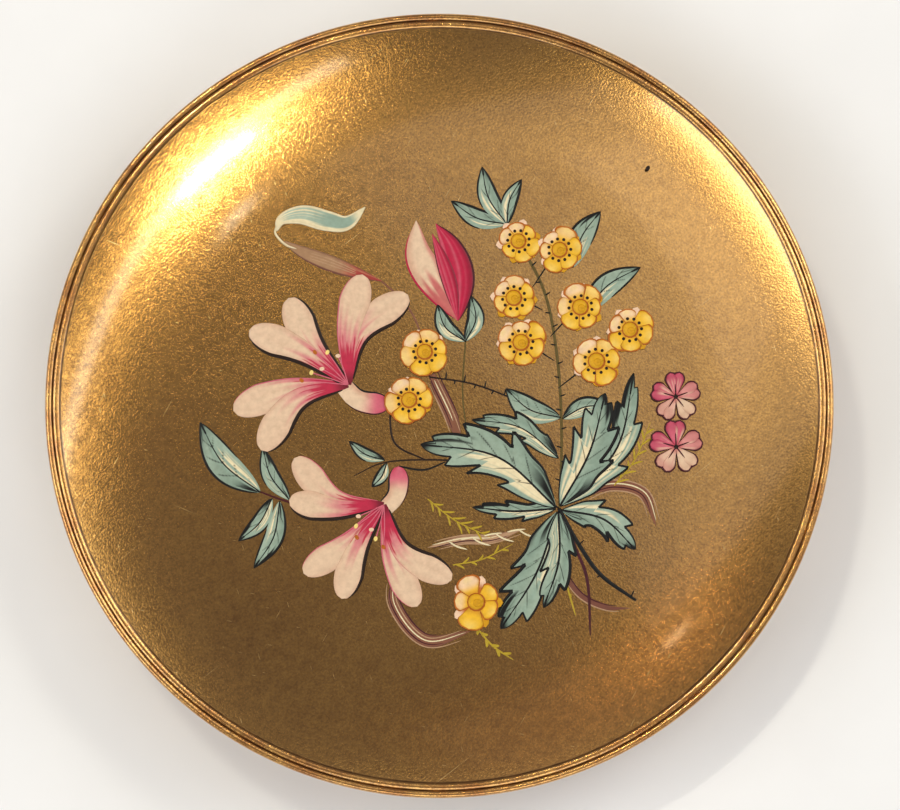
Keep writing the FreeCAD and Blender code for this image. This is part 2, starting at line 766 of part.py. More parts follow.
def catch_spring():
    """Compression spring between the strip's foot and the wall of the powder well."""
    post_y = button_back_y + slide_sheet + slide_length
    half_wire = catch_spring_wire / 2
    low = post_y + half_wire
    length = -well_r - half_wire - low
    start = Vector(0, low, spring_axis_z)
    radius = catch_spring_r - half_wire
    return coil(radius, catch_spring_wire, length, catch_spring_turns, start, Y_AXIS)


# --- Write every sub-part -------------------------------------------------------------------------
MAKERS = {
    "lid_shell": lid_shell,
    "mirror_frame": mirror_frame,
    "mirror": mirror,
    "mirror_card": mirror_card,
    "lid_strike": strike_shape,
    "lid_hinge_leaf": lid_hinge_leaf,
    "base_hinge_leaf": base_hinge_leaf,
    "hinge_pin": hinge_pin,
    "base_shell": base_shell,
    "base_collar": base_collar,
    "powder_well": powder_well,
    "sifter_ring": sifter_ring,
    "sifter_gauze": sifter_gauze,
    "loose_powder": loose_powder,
    "powder_puff": powder_puff,
    "puff_ribbon": puff_ribbon,
    "inner_hinge_bracket": inner_hinge_bracket,
    "bracket_rivets": bracket_rivets,
    "inner_hinge_pin": inner_hinge_pin,
    "lift_spring": lift_spring,
    "inner_lid": inner_lid,
    "inner_lid_hinge_leaf": inner_lid_hinge_leaf,
    "inner_lid_rivets": inner_lid_rivets,
    "inner_lid_tab": inner_lid_tab,
    "catch_button": catch_button,
    "catch_slide": catch_slide,
    "catch_rivet": catch_rivet,
    "catch_guide": catch_guide,
    "catch_spring": catch_spring,
}

os.makedirs("parts", exist_ok=True)
for node, make in MAKERS.items():
    save(make(), node)
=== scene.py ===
from contextlib import contextmanager
from functools import reduce
from math import asin, atan, atan2, cos, degrees, exp, hypot, log, pi, radians, sin, sqrt, tan

import bmesh
import bpy
import numpy as np
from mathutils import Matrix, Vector
from numpy import clip, linspace
from numpy.random import default_rng


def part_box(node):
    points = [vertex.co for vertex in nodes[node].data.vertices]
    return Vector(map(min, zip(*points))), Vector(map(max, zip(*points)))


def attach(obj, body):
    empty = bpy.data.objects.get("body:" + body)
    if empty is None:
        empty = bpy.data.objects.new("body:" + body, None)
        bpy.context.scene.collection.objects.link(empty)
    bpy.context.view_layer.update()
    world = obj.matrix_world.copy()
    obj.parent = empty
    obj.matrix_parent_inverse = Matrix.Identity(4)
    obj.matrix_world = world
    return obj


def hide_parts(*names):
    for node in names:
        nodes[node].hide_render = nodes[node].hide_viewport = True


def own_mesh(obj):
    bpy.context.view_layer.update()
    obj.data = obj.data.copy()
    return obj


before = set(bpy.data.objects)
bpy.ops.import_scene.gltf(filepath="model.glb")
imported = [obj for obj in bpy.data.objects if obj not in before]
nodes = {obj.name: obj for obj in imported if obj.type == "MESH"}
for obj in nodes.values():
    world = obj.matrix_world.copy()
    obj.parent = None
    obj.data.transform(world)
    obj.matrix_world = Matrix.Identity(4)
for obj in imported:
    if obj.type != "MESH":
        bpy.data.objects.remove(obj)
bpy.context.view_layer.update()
MM = 0.001
rng = default_rng(7)


# --- The lid's section, in millimetres, as part.py has it ---
def disc(node):
    """A round node's radius, bottom and top, in millimetres."""
    low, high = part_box(node)
    return high.x / MM, low.z / MM, high.z / MM


LID_R, EDGE_Z, TOP_Z = disc("lid_shell")
SHEET = 0.45
BEAD = 0.4
SKIRT_R = LID_R - 0.3
SKIRT_IN = SKIRT_R - 0.4
BEAD_Z = EDGE_Z + 3.5
BEAD_R = LID_R - BEAD
WRAP = radians(155)
GROOVE_R = BEAD_R + BEAD * cos(WRAP)
GROOVE_Z = BEAD_Z + BEAD * sin(WRAP)
DOME_R = GROOVE_R - 0.82
FLAT_R, FLAT_RISE = 26, 0.55
RISE = TOP_Z - GROOVE_Z
CROWN_R = (FLAT_R**2 + FLAT_RISE**2) / (2 * FLAT_RISE)
A0 = asin(FLAT_R / CROWN_R)
RUN = DOME_R - FLAT_R
A1 = 2 * atan((RISE - FLAT_RISE) / RUN) - A0
SHOULDER_R = RUN / (sin(A1) - sin(A0))
CROWN_C = (0, TOP_Z - CROWN_R)
SHOULDER_C = ((CROWN_R - SHOULDER_R) * sin(A0), CROWN_C[1] + (CROWN_R - SHOULDER_R) * cos(A0))


def dome_z(r):
    """Height of the lid's outer face at radius r, both in millimetres."""
    r = np.asarray(r, float)
    crown = CROWN_C[1] + np.sqrt(np.maximum(CROWN_R**2 - r**2, 0))
    run = clip(r - SHOULDER_C[0], 0, SHOULDER_R)
    shoulder = SHOULDER_C[1] + np.sqrt(SHOULDER_R**2 - run**2)
    return np.where(r < FLAT_R, crown, shoulder)


# --- Meshes ---
@contextmanager
def editing(mesh):
    bm = bmesh.new()
    bm.from_mesh(mesh)
    yield bm
    bm.to_mesh(mesh)
    bm.free()


def placed(name, data):
    obj = bpy.data.objects.new(name, data)
    bpy.context.scene.collection.objects.link(obj)
    return obj


def smooth(mesh, angle=35):
    """Smooth shading that keeps edges sharper than angle."""
    with editing(mesh) as bm:
        for e in bm.edges:
            e.smooth = not (len(e.link_faces) == 2 and e.calc_face_angle(0) > radians(angle))
        for f in bm.faces:
            f.smooth = True


def new_object(name, verts, faces, angle=35):
    mesh = bpy.data.meshes.new(name)
    mesh.from_pydata(verts, [], faces)
    mesh.update()
    with editing(mesh) as bm:
        bmesh.ops.recalc_face_normals(bm, faces=bm.faces)
    smooth(mesh, angle)
    return placed(name, mesh)


def arc(centre, radius, start, end, n):
    """Points on an arc; angles in radians from straight up, clockwise positive."""
    x, z = centre
    return [(x + radius * sin(a), z + radius * cos(a)) for a in linspace(start, end, n)]


def lathe(name, section, segments=288, wave=None):
    """A solid of revolution from a loop of (r, z) in millimetres. wave(r, z, angle) lifts a point."""
    verts, rings = [], []
    for r, z in section:
        start, count = len(verts), segments if r > 1e-6 else 1
        for k in range(count):
            a = 2 * pi * k / segments
            dz = wave(r, z, a) if wave and count > 1 else 0
            verts.append((r * cos(a) * MM, r * sin(a) * MM, (z + dz) * MM))
        rings.append([start + k % count for k in range(segments)])
    faces = []
    for low, high in zip(rings, rings[1:] + rings[:1]):
        for k in range(segments):
            n = (k + 1) % segments
            corners = tuple(dict.fromkeys((low[k], low[n], high[n], high[k])))
            if len(corners) > 2:
                faces.append(corners)
    return new_object(name, verts, faces)


def block(low, high):
    """A box object for cutting, from its corners in millimetres."""
    x0, y0, z0 = (v * MM for v in low)
    x1, y1, z1 = (v * MM for v in high)
    verts = [(x, y, z) for x in (x0, x1) for y in (y0, y1) for z in (z0, z1)]
    faces = [(0, 1, 3, 2), (4, 6, 7, 5), (0, 4, 5, 1), (2, 3, 7, 6), (0, 2, 6, 4), (1, 5, 7, 3)]
    return new_object("cutter", verts, faces)


def carve(obj, *cutters):
    for cutter in cutters:
        m = obj.modifiers.new("cut", "BOOLEAN")
        m.operation, m.object, m.solver = "DIFFERENCE", cutter, "EXACT"
    apply(obj)
    for cutter in cutters:
        bpy.data.objects.remove(cutter)
    smooth(obj.data)


def apply(obj):
    """Applies every modifier on an object."""
    dg = bpy.context.evaluated_depsgraph_get()
    done = bpy.data.meshes.new_from_object(obj.evaluated_get(dg))
    obj.modifiers.clear()
    obj.data = done


# --- Materials ---
def linear(code):
    """Scene-linear colour of an sRGB hex code."""
    parts = [int(code[i:i + 2], 16) / 255 for i in (1, 3, 5)]
    return tuple(c / 12.92 if c <= 0.04045 else ((c + 0.055) / 1.055) ** 2.4 for c in parts)


class Graph:
    """Short ways to build a node tree. A colour input may be given as a hex code."""

    def __init__(self, name):
        self.material = bpy.data.materials.new(name)
        self.material.use_nodes = True
        self.tree = self.material.node_tree
        self.tree.nodes.clear()
        self.shader = self.add("BsdfPrincipled")
        self.add("OutputMaterial", {0: self.shader.outputs[0]})
        self.coord = self.add("TexCoord").outputs["Object"]

    def add(self, kind, inputs=(), **settings):
        """A new node with its settings made and its inputs set or linked."""
        node = self.tree.nodes.new("ShaderNode" + kind)
        for key, value in settings.items():
            setattr(node, key, value)
        for key, value in dict(inputs).items():
            self.put(node, key, value)
        return node

    def put(self, node, key, value):
        if isinstance(value, bpy.types.NodeSocket):
            self.tree.links.new(value, node.inputs[key])
        else:
            node.inputs[key].default_value = (*linear(value), 1) if isinstance(value, str) else value

    def mapped(self, scale, turn=0, shift=(0, 0, 0)):
        """Coordinates turned about Z by degrees, then scaled."""
        turned = {0: self.coord, "Rotation": (0, 0, radians(turn))}
        spun = self.add("Mapping", turned, vector_type="POINT").outputs[0]
        grown = {0: spun, "Scale": scale, "Location": shift}
        return self.add("Mapping", grown, vector_type="POINT").outputs[0]

    def noise(self, scale, detail=3, rough=0.5, at=None):
        inputs = {"Vector": at or self.coord, "Scale": scale, "Detail": detail, "Roughness": rough}
        return self.add("TexNoise", inputs).outputs["Fac"]

    def fit(self, value, a, b, c=0, d=1):
        """Maps a..b to c..d, clamped."""
        return self.add("MapRange", enumerate((value, a, b, c, d)), clamp=True).outputs[0]

    def calc(self, op, *values):
        return self.add("Math", enumerate(values), operation=op).outputs[0]

    def join(self, op, parts):
        return reduce(lambda a, b: self.calc(op, a, b), parts)

    def plus(self, a, b):
        return self.calc("ADD", a, b)

    def times(self, a, b):
        return self.calc("MULTIPLY", a, b)

    def mix(self, factor, a, b, how="MIX"):
        inputs = {0: factor, 6: a, 7: b}
        return self.add("Mix", inputs, data_type="RGBA", blend_type=how).outputs[2]

    def bump(self, height, distance, under=None):
        inputs = {"Height": height, "Distance": distance}
        if under is not None:
            inputs["Normal"] = under
        return self.add("Bump", inputs).outputs[0]

    def set(self, **values):
        names = {
            "color": "Base Color", "metal": "Metallic", "rough": "Roughness", "normal": "Normal",
            "coat": "Coat Weight", "coat_rough": "Coat Roughness", "specular": "Specular IOR Level",
            "sheen": "Sheen Weight", "sheen_rough": "Sheen Roughness", "aniso": "Anisotropic", "ior": "IOR",
            "subsurface": "Subsurface Weight", "sss_scale": "Subsurface Scale",
        }
        for key, value in values.items():
            self.put(self.shader, names[key], value)
        return self.material


def nicks(g, turn, length, width, share, seed):
    """Short straight scratches: the hearts of long thin cells, kept in a share of the cells."""
    wander = g.times(g.noise(300, 1), 0.6)
    place = g.mapped((1 / length, 1 / width, 0), turn, (seed, seed * 1.7, seed))
    bent = g.add("VectorMath", {0: place, 1: wander}, operation="ADD").outputs[0]
    cells = g.add("TexVoronoi", {"Vector": bent, "Scale": 1}).outputs
    split = g.add("SeparateColor", {0: cells["Color"]}).outputs
    heart = g.fit(cells["Distance"], 0.05, 0.4, 1, 0)
    return g.times(heart, g.fit(split[0], 1 - share, 1 - share * 0.7))


def radius_of(g):
    """Distance from the compact's axis, in millimetres, and the coordinates X, Y and Z in metres."""
    split = g.add("SeparateXYZ", {0: g.coord}).outputs
    squares = [g.calc("POWER", split[k], 2) for k in (0, 1)]
    return g.times(g.calc("SQRT", g.plus(*squares)), 1000), split


# angle, marks a metre across and along, seed and share of each set
BRUSHING = ((52, 6500, 700, 1, 0.4), (47, 4200, 420, 7, 0.4), (-20, 5200, 900, 4, 0.2))
SCRATCHES = (  # angle, length, width, share of cells and seed of each set
    (23, 0.0045, 0.00016, 0.008, 3.1), (-38, 0.013, 0.00013, 0.01, 6.4), (-61, 0.0026, 0.00014, 0.011, 9.2),
    (72, 0.0014, 0.00014, 0.011, 5.7), (10, 0.0009, 0.00014, 0.011, 1.9),
)


def brushed(g):
    """Brush marks in a few directions."""
    return g.join("ADD", [
        g.times(g.noise(1, 3, 0.6, g.mapped((across, along, across), turn, (seed, 0, 0))), share)
        for turn, across, along, seed, share in BRUSHING])


def brass(name, light, dark, rough=0.2, mottle=0.35, grain=1, scratch=1, coat=0, spun=False, grooves=()):
    """Worn brass: satin grain, brush marks (rings if spun), mottled tarnish and short scratches, with painted
    shade that makes the colour darker towards the lower left and lighter towards the upper right. grooves are
    radii darkened with painted shade, with lumpy metal outside the first."""
    g = Graph(name)
    radius, split = radius_of(g)
    if spun:
        ring = g.times(radius, 8)
        round_it = g.times(g.calc("ARCTAN2", split[1], split[0]), 2.5)
        brush = g.noise(1, 2, 0.5, g.add("CombineXYZ", {0: ring, 1: round_it}).outputs[0])
    else:
        brush = brushed(g)
    fine = g.noise(4200, 2, 0.6)
    spots = g.noise(900, 4, 0.7)
    cloud = g.noise(75, 3, 0.6)
    wear_and_painted_shade = g.plus(g.fit(spots, 0.36, 0.64, 0, 0.6), g.fit(cloud, 0.35, 0.65, 0, 0.4))
    wear_and_painted_shade = g.plus(g.times(wear_and_painted_shade, 0.75), g.fit(brush, 0.38, 0.62, 0, 0.25))
    # painted shade: the wear mottle is pushed towards the dark colour in the lower left (x + y below zero)
    # and towards the light colour in the upper right
    corner = g.plus(split[0], split[1])
    wear_and_painted_shade = g.times(wear_and_painted_shade, g.fit(corner, -0.05, 0.03, 1.25, 0.7))
    color = g.mix(g.times(wear_and_painted_shade, mottle), light, dark)
    color = g.mix(g.fit(fine, 0.34, 0.6, mottle * 0.5, 0), color, "#94754C", "MULTIPLY")
    pits = g.fit(g.noise(2100, 2, 0.6), 0.7, 0.76)
    color = g.mix(g.times(pits, 0.45), color, "#5A3C1C")
    mark = g.times(g.join("MAXIMUM", [nicks(g, *row) for row in SCRATCHES]), scratch)
    color = g.mix(g.times(mark, 0.3), color, "#F0D49C")
    height = g.plus(g.plus(g.times(fine, 1.05), g.times(brush, 0.5)), g.times(spots, 0.25))
    normal = g.bump(mark, 0.000003, g.bump(height, 0.00001 * grain))
    roughness = g.plus(g.fit(wear_and_painted_shade, 0, 1, rough - 0.03, rough + 0.07), g.times(mark, 0.12))
    if grooves:
        above = g.fit(split[2], (BEAD_Z - 0.7) * MM, BEAD_Z * MM)
        edge = g.times(g.fit(radius, grooves[0] - 0.1, grooves[0] + 0.3), above)
        # painted shade: dark brown lines along each groove radius, broken up by noise, with higher roughness
        # there
        near = [g.calc("ABSOLUTE", g.calc("SUBTRACT", radius, groove)) for groove in grooves]
        painted_groove_shade = g.calc("MAXIMUM", *(g.fit(gap, 0.02, 0.17, 1, 0) for gap in near))
        painted_groove_shade = g.times(painted_groove_shade, g.fit(g.noise(500), 0.25, 0.55, 0.35, 0.9))
        copper = g.mix(g.fit(g.noise(420), 0.35, 0.65), "#DDAA60", "#B87C40")
        color = g.mix(g.times(edge, 0.8), color, copper)
        # the painted groove shade goes into the colour here
        color = g.mix(painted_groove_shade, color, "#46290F")
        lumps = g.plus(g.noise(1100, 3, 0.6), g.times(fine, 0.35))
        normal = g.bump(g.times(lumps, edge), 0.00004, normal)
        roughness = g.plus(roughness, g.times(painted_groove_shade, 0.25))
    return g.set(color=color, metal=1, rough=roughness, normal=normal, coat=coat, coat_rough=0.1)


def steel(name):
    g = Graph(name)
    streak = g.noise(1, 2, at=g.mapped((900, 6000, 6000)))
    color = g.mix(g.fit(g.noise(900), 0.4, 0.65), "#B9B7B2", "#8D8983")
    rough = g.fit(streak, 0.3, 0.7, 0.22, 0.4)
    return g.set(color=color, metal=1, rough=rough, normal=g.bump(streak, 0.000003))


def paint_material():
    """Opaque enamel whose colour is stored on the mesh, with brush texture."""
    g = Graph("enamel_paint")
    stored = g.add("Attribute", attribute_name="paint").outputs["Color"]
    soft = g.noise(1500, 3, 0.6)
    color = g.mix(g.fit(soft, 0.35, 0.75, 0, 0.22), stored, "#6B5433", "MULTIPLY")
    height = g.plus(soft, g.times(g.noise(5200, 2), 0.5))
    rough = g.fit(soft, 0.3, 0.7, 0.38, 0.55)
    return g.set(color=color, rough=rough, normal=g.bump(height, 0.000006), coat=0, specular=0.25)


LID_BRASS = brass(
    "lid_brass", "#D2A35A", "#8A6234", rough=0.17, mottle=0.75, grain=2, coat=1, grooves=(DOME_R, GROOVE_R))
BASE_BRASS = brass("base_brass", "#D2A457", "#A87A38", rough=0.25)
POLISHED = brass("polished_brass", "#E3BC72", "#C29448", rough=0.14, grain=0.3, scratch=0.6, spun=True)
FITTING = brass("fitting_brass", "#CDA25A", "#94692F", rough=0.24, grain=0.4, scratch=0.6, mottle=0.6)
STEEL = steel("spring_steel")
PAINT = paint_material()


def mirror_material():
    g = Graph("silvered_glass")
    fox = g.times(g.fit(g.noise(900, 5, 0.7), 0.64, 0.72), 0.6)
    color = g.mix(fox, "#EEF1EF", "#A89E8A")
    return g.set(color=color, metal=1, rough=g.fit(fox, 0, 0.6, 0.015, 0.2), ior=1.52)


def card_material():
    g = Graph("grey_board")
    fibre = g.noise(1800, 5, 0.7, g.mapped((2, 1, 1)))
    color = g.mix(g.fit(fibre, 0.35, 0.7), "#6B6257", "#8E8474")
    return g.set(color=color, rough=0.9, normal=g.bump(fibre, 0.00003))


def weave(g, scale):
    """Plain weave height from two crossed waves."""
    inputs = {"Vector": g.coord, "Scale": scale, "Distortion": 0.15}
    look = {"wave_type": "BANDS", "wave_profile": "SIN"}
    waves = [g.add("TexWave", inputs, bands_direction=axis, **look) for axis in ("X", "Y")]
    return g.calc("MAXIMUM", *(wave.outputs["Fac"] for wave in waves))


def velour_material():
    g = Graph("cotton_velour")
    pile = g.noise(3800, 4, 0.75)
    color = g.mix(g.fit(g.noise(170, 3, 0.6), 0.35, 0.65), "#E7BFA8", "#D9A48F")
    color = g.mix(g.fit(pile, 0.3, 0.7, 0, 0.4), color, "#F6DCCB")
    return g.set(color=color, rough=0.95, sheen=0.6, sheen_rough=0.4, normal=g.bump(pile, 0.00025),
                 subsurface=0.08, sss_scale=0.002)


def satin_material():
    g = Graph("satin_ribbon")
    fold = g.noise(160, 2, at=g.mapped((1, 6, 1)))
    color = g.mix(g.fit(fold, 0.35, 0.65), "#C9786F", "#DE9A8E")
    return g.set(color=color, rough=g.fit(fold, 0.3, 0.7, 0.3, 0.45), sheen=0.3, sheen_rough=0.3, aniso=0.5,
                 normal=g.bump(weave(g, 900), 0.00002))


def gauze_material():
    g = Graph("silk_gauze")
    threads = weave(g, 520)
    color = g.mix(threads, "#8F8572", "#E5DCC8")
    return g.set(color=color, rough=0.8, normal=g.bump(threads, 0.00006), sheen=0.2, sheen_rough=0.5)


def powder_material():
    g = Graph("face_powder")
    grit = g.noise(4200, 4, 0.8)
    color = g.mix(g.fit(grit, 0.3, 0.7), "#D9A98C", "#EAC3A8")
    return g.set(color=color, rough=1, normal=g.bump(grit, 0.0001), subsurface=0.1, sss_scale=0.001)


MIRROR, CARD, VELOUR = mirror_material(), card_material(), velour_material()
SATIN, GAUZE, POWDER = satin_material(), gauze_material(), powder_material()


def dress(obj, material, body=None, replaced=()):
    obj.data.materials.clear()
    obj.data.materials.append(material)
    if body:
        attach(obj, body)
    if replaced:
        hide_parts(*replaced)
    return obj


# --- Lid ---
def lid_section():
    foot = BEAD_Z - sqrt(BEAD**2 - (SKIRT_R - BEAD_R) ** 2)
    start = atan2(SKIRT_R - BEAD_R, foot - BEAD_Z)
    end = pi / 2 - WRAP
    pts = [(SKIRT_R - 0.06, EDGE_Z), (SKIRT_R, EDGE_Z + 0.06), (SKIRT_R, EDGE_Z + 1.4), (SKIRT_R, foot)]
    pts += arc((BEAD_R, BEAD_Z), BEAD, start, end, 22)[1:]
    crest = 0.2
    half = (GROOVE_R - DOME_R) / 2
    small = (half**2 + crest**2) / (2 * crest)
    tilt = asin(half / small)
    pts += arc(((GROOVE_R + DOME_R) / 2, GROOVE_Z + crest - small), small, tilt, -tilt, 12)[1:]
    pts += arc(SHOULDER_C, SHOULDER_R, A1, A0, 44)[1:]
    pts += arc(CROWN_C, CROWN_R, A0, 0, 40)[1:]
    pts += arc(CROWN_C, CROWN_R - SHEET, 0, A0, 12)
    pts += arc(SHOULDER_C, SHOULDER_R - SHEET, A0, A1, 14)[1:]
    pts += [(SKIRT_IN, BEAD_Z - SHEET / 2), (SKIRT_IN, EDGE_Z)]
    return pts


NOTCH = ((-9.8, LID_R - 2.5, 5.6), (9.8, LID_R + 1, 8.4))  # where the hinge's saddles sit
lid_body = lathe("lid_body", lid_section())
carve(lid_body, block(*NOTCH))
dress(lid_body, LID_BRASS, "lid", ["lid_shell"])


# --- Painted spray: strokes laid on the dome ---
class Art:
    """Collects strokes as grids of points on the dome, each a little above the last."""

    def __init__(self, name, base):
        self.name, self.lift, self.verts, self.faces, self.colours = name, base, [], [], []

    def grid(self, xy, colours):
        """xy is (n, m, 2) in millimetres, colours (n, m, 3)."""
        self.lift += 0.0004
        n, m = xy.shape[:2]
        start = len(self.verts)
        r = np.hypot(xy[..., 0], xy[..., 1])
        z = dome_z(r) + self.lift
        pts = np.dstack([xy, z]).reshape(-1, 3) * MM
        self.verts.extend(map(tuple, pts))
        self.colours.extend(map(tuple, clip(colours, 0, 1).reshape(-1, 3)))
        for i in range(n - 1):
            for j in range(m - 1):
                a = start + i * m + j
                self.faces.append((a, a + m, a + m + 1, a + 1))

    def make(self):
        mesh = bpy.data.meshes.new(self.name)
        mesh.from_pydata(self.verts, [], self.faces)
        attr = mesh.color_attributes.new("paint", "FLOAT_COLOR", "POINT")
        rgba = np.ones((len(self.verts), 4), np.float32)
        rgba[:, :3] = self.colours
        attr.data.foreach_set("color", rgba.ravel())
        mesh.update()
        for p in mesh.polygons:
            p.use_smooth = True
        obj = placed(self.name, mesh)
        with editing(mesh) as bm:
            bmesh.ops.reverse_faces(bm, faces=[f for f in bm.faces if f.normal.z < 0])
        thick = obj.modifiers.new("film", "SOLIDIFY")
        thick.thickness, thick.offset = 0.012 * MM, -1
        apply(obj)
        return dress(obj, PAINT, "lid")


def normals(xy):
    """Left-hand normals along a line of points."""
    d = np.gradient(xy, axis=0)
    d /= np.maximum(np.hypot(d[:, 0], d[:, 1]), 1e-9)[:, None]
    return np.column_stack([-d[:, 1], d[:, 0]])


def spline(points, n):
    """n points evenly along a smooth curve through the given ones, and its left-hand normals."""
    p = np.asarray(points, float)
    if len(p) == 2:
        p = np.array([p[0], (p[0] + p[1]) / 2, p[1]])
    ends = np.vstack([2 * p[0] - p[1], p, 2 * p[-1] - p[-2]])
    out = []
    for i in range(1, len(ends) - 2):
        a, b, c, d = ends[i - 1:i + 3]
        square, cube = 2 * a - 5 * b + 4 * c - d, 3 * b - a - 3 * c + d
        for t in linspace(0, 1, 24, endpoint=False):
            out.append(0.5 * (2 * b + (c - a) * t + square * t**2 + cube * t**3))
    out.append(p[-1])
    out = np.array(out)
    gap = np.r_[0, np.cumsum(np.hypot(*np.diff(out, axis=0).T))]
    at = linspace(0, gap[-1], n)
    xy = np.column_stack([np.interp(at, gap, out[:, k]) for k in (0, 1)])
    return xy, normals(xy)


def step(x, a, b):
    t = clip((x - a) / (b - a), 0, 1)
    return t * t * (3 - 2 * t)


def fade(x, a, b):
    return 1 - step(x, a, b)


def blend(a, b, f):
    return np.asarray(a) * (1 - f[..., None]) + np.asarray(b) * f[..., None]


def flat(shade, t):
    """One colour at every point of t."""
    return np.broadcast_to(np.asarray(shade), t.shape + (3,))


def ragged(s, count, seed):
    """A random value for each narrow band of s, blended between bands."""
    table = default_rng(seed).random(count + 2)
    return np.interp((s + 1) / 2 * count, np.arange(count + 2), table)


def polar(origin, angle, reach):
    """The point at an angle in degrees and a distance from origin."""
    a = radians(angle)
    return (origin[0] + reach * cos(a), origin[1] + reach * sin(a))


def blade(art, spine, left, right, colour, nu=40, nv=12, edges=(), slant=0):
    """A shape grown on both sides of a spine. left and right give half widths at t in 0..1, and colour gives
    RGB at (t, s), s being -1 at the right edge and 1 at the left. edges are (side, from, to, width, colour)
    lines, and slant sweeps both sides forward."""
    xy, normal = spline(spine, nu)
    ahead = np.column_stack([normal[:, 1], -normal[:, 0]])
    t = linspace(0, 1, nu)
    wl, wr = left(t), right(t)

    def edge(s):
        width = (wl if s > 0 else wr) * s
        return xy + normal * width[:, None] + ahead * (np.abs(width) * slant)[:, None]

    side = linspace(-1, 1, nv)
    pts = np.stack([edge(s) for s in side], axis=1)
    tt, ss = np.meshgrid(t, side, indexing="ij")
    art.grid(pts, colour(tt, ss))
    for s, low, high, thick, shade in edges:
        keep = (t >= low) & (t <= high)
        stroke(art, edge(s)[keep], thick, shade, raw=True)


def stroke(art, points, width, shade, taper=(0.25, 0), raw=False, n=36):
    """A brush line through points, or along them if raw. taper is its width's share at its start and end."""
    if raw:
        xy, normal = points, normals(points)
    else:
        xy, normal = spline(points, n)
    t = linspace(0, 1, len(xy))
    body = np.sin(np.pi * clip(t, 0, 1)) ** 0.5
    w = width / 2 * (body + (1 - body) * np.where(t < 0.5, taper[0], taper[1]))
    s = np.array([-1, 0, 1])
    pts = xy[:, None, :] + normal[:, None, :] * (w[:, None] * s[None, :])[..., None]
    art.grid(pts, flat(shade, pts[..., 0]))


def dot(art, x, y, radius, shade, squash=1, turn=0):
    """A round or oval dab of paint."""
    a = linspace(0, 2 * np.pi, 15)
    r = np.array([0.02, 0.6, 1]) * radius
    px = r[:, None] * np.cos(a)[None, :]
    py = r[:, None] * np.sin(a)[None, :] * squash
    c, s = cos(turn), sin(turn)
    pts = np.dstack([x + px * c - py * s, y + px * s + py * c])
    art.grid(pts, flat(shade, pts[..., 0]))


CREAM, SHELL, PINK, CRIMSON, WINE, INK, TEAL = map(
    linear, ("#E2C5A8", "#CFA389", "#D0667A", "#B81440", "#45101C", "#0B0D0F", "#8FA697"))
PALE_TEAL, DEEP_TEAL, IVORY, YELLOW, LEMON, BLUSH, AMBER = map(
    linear, ("#AABBA9", "#586E64", "#EADCB6", "#EDB92F", "#F5DC84", "#F0CDB0", "#B8651C"))
OCHRE, SEPIA, MAUVE, FAWN, OLIVE, FERN, EARTH = map(
    linear, ("#D39A12", "#221008", "#74473A", "#B59070", "#5E4E20", "#B79C2A", "#83543F"))
GOLD, ROSE = map(
    linear, ("#DDA51C", "#A83050"))
SHADOW_SIDE = (0.8, -0.6)  # the painter's light comes from the upper left
TOOTH_DEPTH = 0.5  # a leaf's teeth, as a share of its half width


def rounded(width, waist=0.12, peak=0.74, power=1):
    """Half width of a lobe: narrow at the throat, widest near its rounded end."""

    def at(t):
        grow = waist + (1 - waist) * clip(t / peak, 0, 1) ** power
        end = np.sqrt(clip(1 - (clip(t - peak, 0, 1) / (1 - peak)) ** 2, 0, 1))
        return width * grow * end

    return at


def leafy(width, peak=0.42, teeth=0, phase=0):
    """Half width of a pointed leaf, with teeth if asked."""
    power = log(0.5) / log(peak)

    def at(t):
        w = width * np.sin(np.pi * clip(t, 0, 1) ** power) ** 0.9
        if teeth:
            saw = np.mod(t * teeth + phase, 1)
            w = w * (1 - TOOTH_DEPTH * (1 - saw) * step(t, 0.12, 0.3))
        return np.maximum(w, 0.02)

    return at


def lily_lobe(art, throat, bend, tip, width, seed, outer, reach=0.5, waist=0.18):
    """Half of a two-lobed petal, cream with crimson streaks out of the throat. outer is its free side."""

    def colour(t, s):
        length = reach * (0.45 + 0.75 * ragged(s, 9, seed))
        fine = reach * (0.25 + 1.1 * ragged(s, 24, seed + 1))
        cloud = 0.2 * ragged(s * 0.5 + t * 0.4, 12, seed + 2)
        base = blend(CREAM, SHELL, step(np.abs(s), 0.55, 1) * 0.45 + cloud)
        soft = blend(base, PINK, fade(t, length * 0.7, length + 0.22) * 0.85)
        broad = fade(t, length * 0.5, length * 0.5 + 0.12)
        red = np.maximum(broad, fade(t, fine * 0.7, fine * 0.7 + 0.05))
        deep = blend(soft, CRIMSON, red * 0.92)
        return blend(deep, WINE, fade(t, 0.02, 0.16) * 0.75)

    shape = rounded(width, waist)
    away = np.subtract(tip, throat)
    free = np.array([-away[1], away[0]]) * outer
    shaded = free @ SHADOW_SIDE > 0
    edge = (outer, 0.04, 0.99, 0.36 if shaded else 0.12, SEPIA if shaded else PINK)
    blade(art, [throat, bend, tip], shape, shape, colour, 52, 26, [edge])


def stamens(art, throat, facing, reach):
    """A few pink threads with pale tips."""
    for k in range(6):
        x, y = polar(throat, facing + (k - 2.5) * 13, reach * (0.27 + 0.07 * (k % 3)))
        middle = ((throat[0] + x) / 2 + 0.1, (throat[1] + y) / 2)
        stroke(art, [throat, middle, (x, y)], 0.12, PINK, (1, 1), n=12)
        dot(art, x, y, 0.27, (BLUSH, LEMON, AMBER)[k % 3], 0.75, k * 1.1)


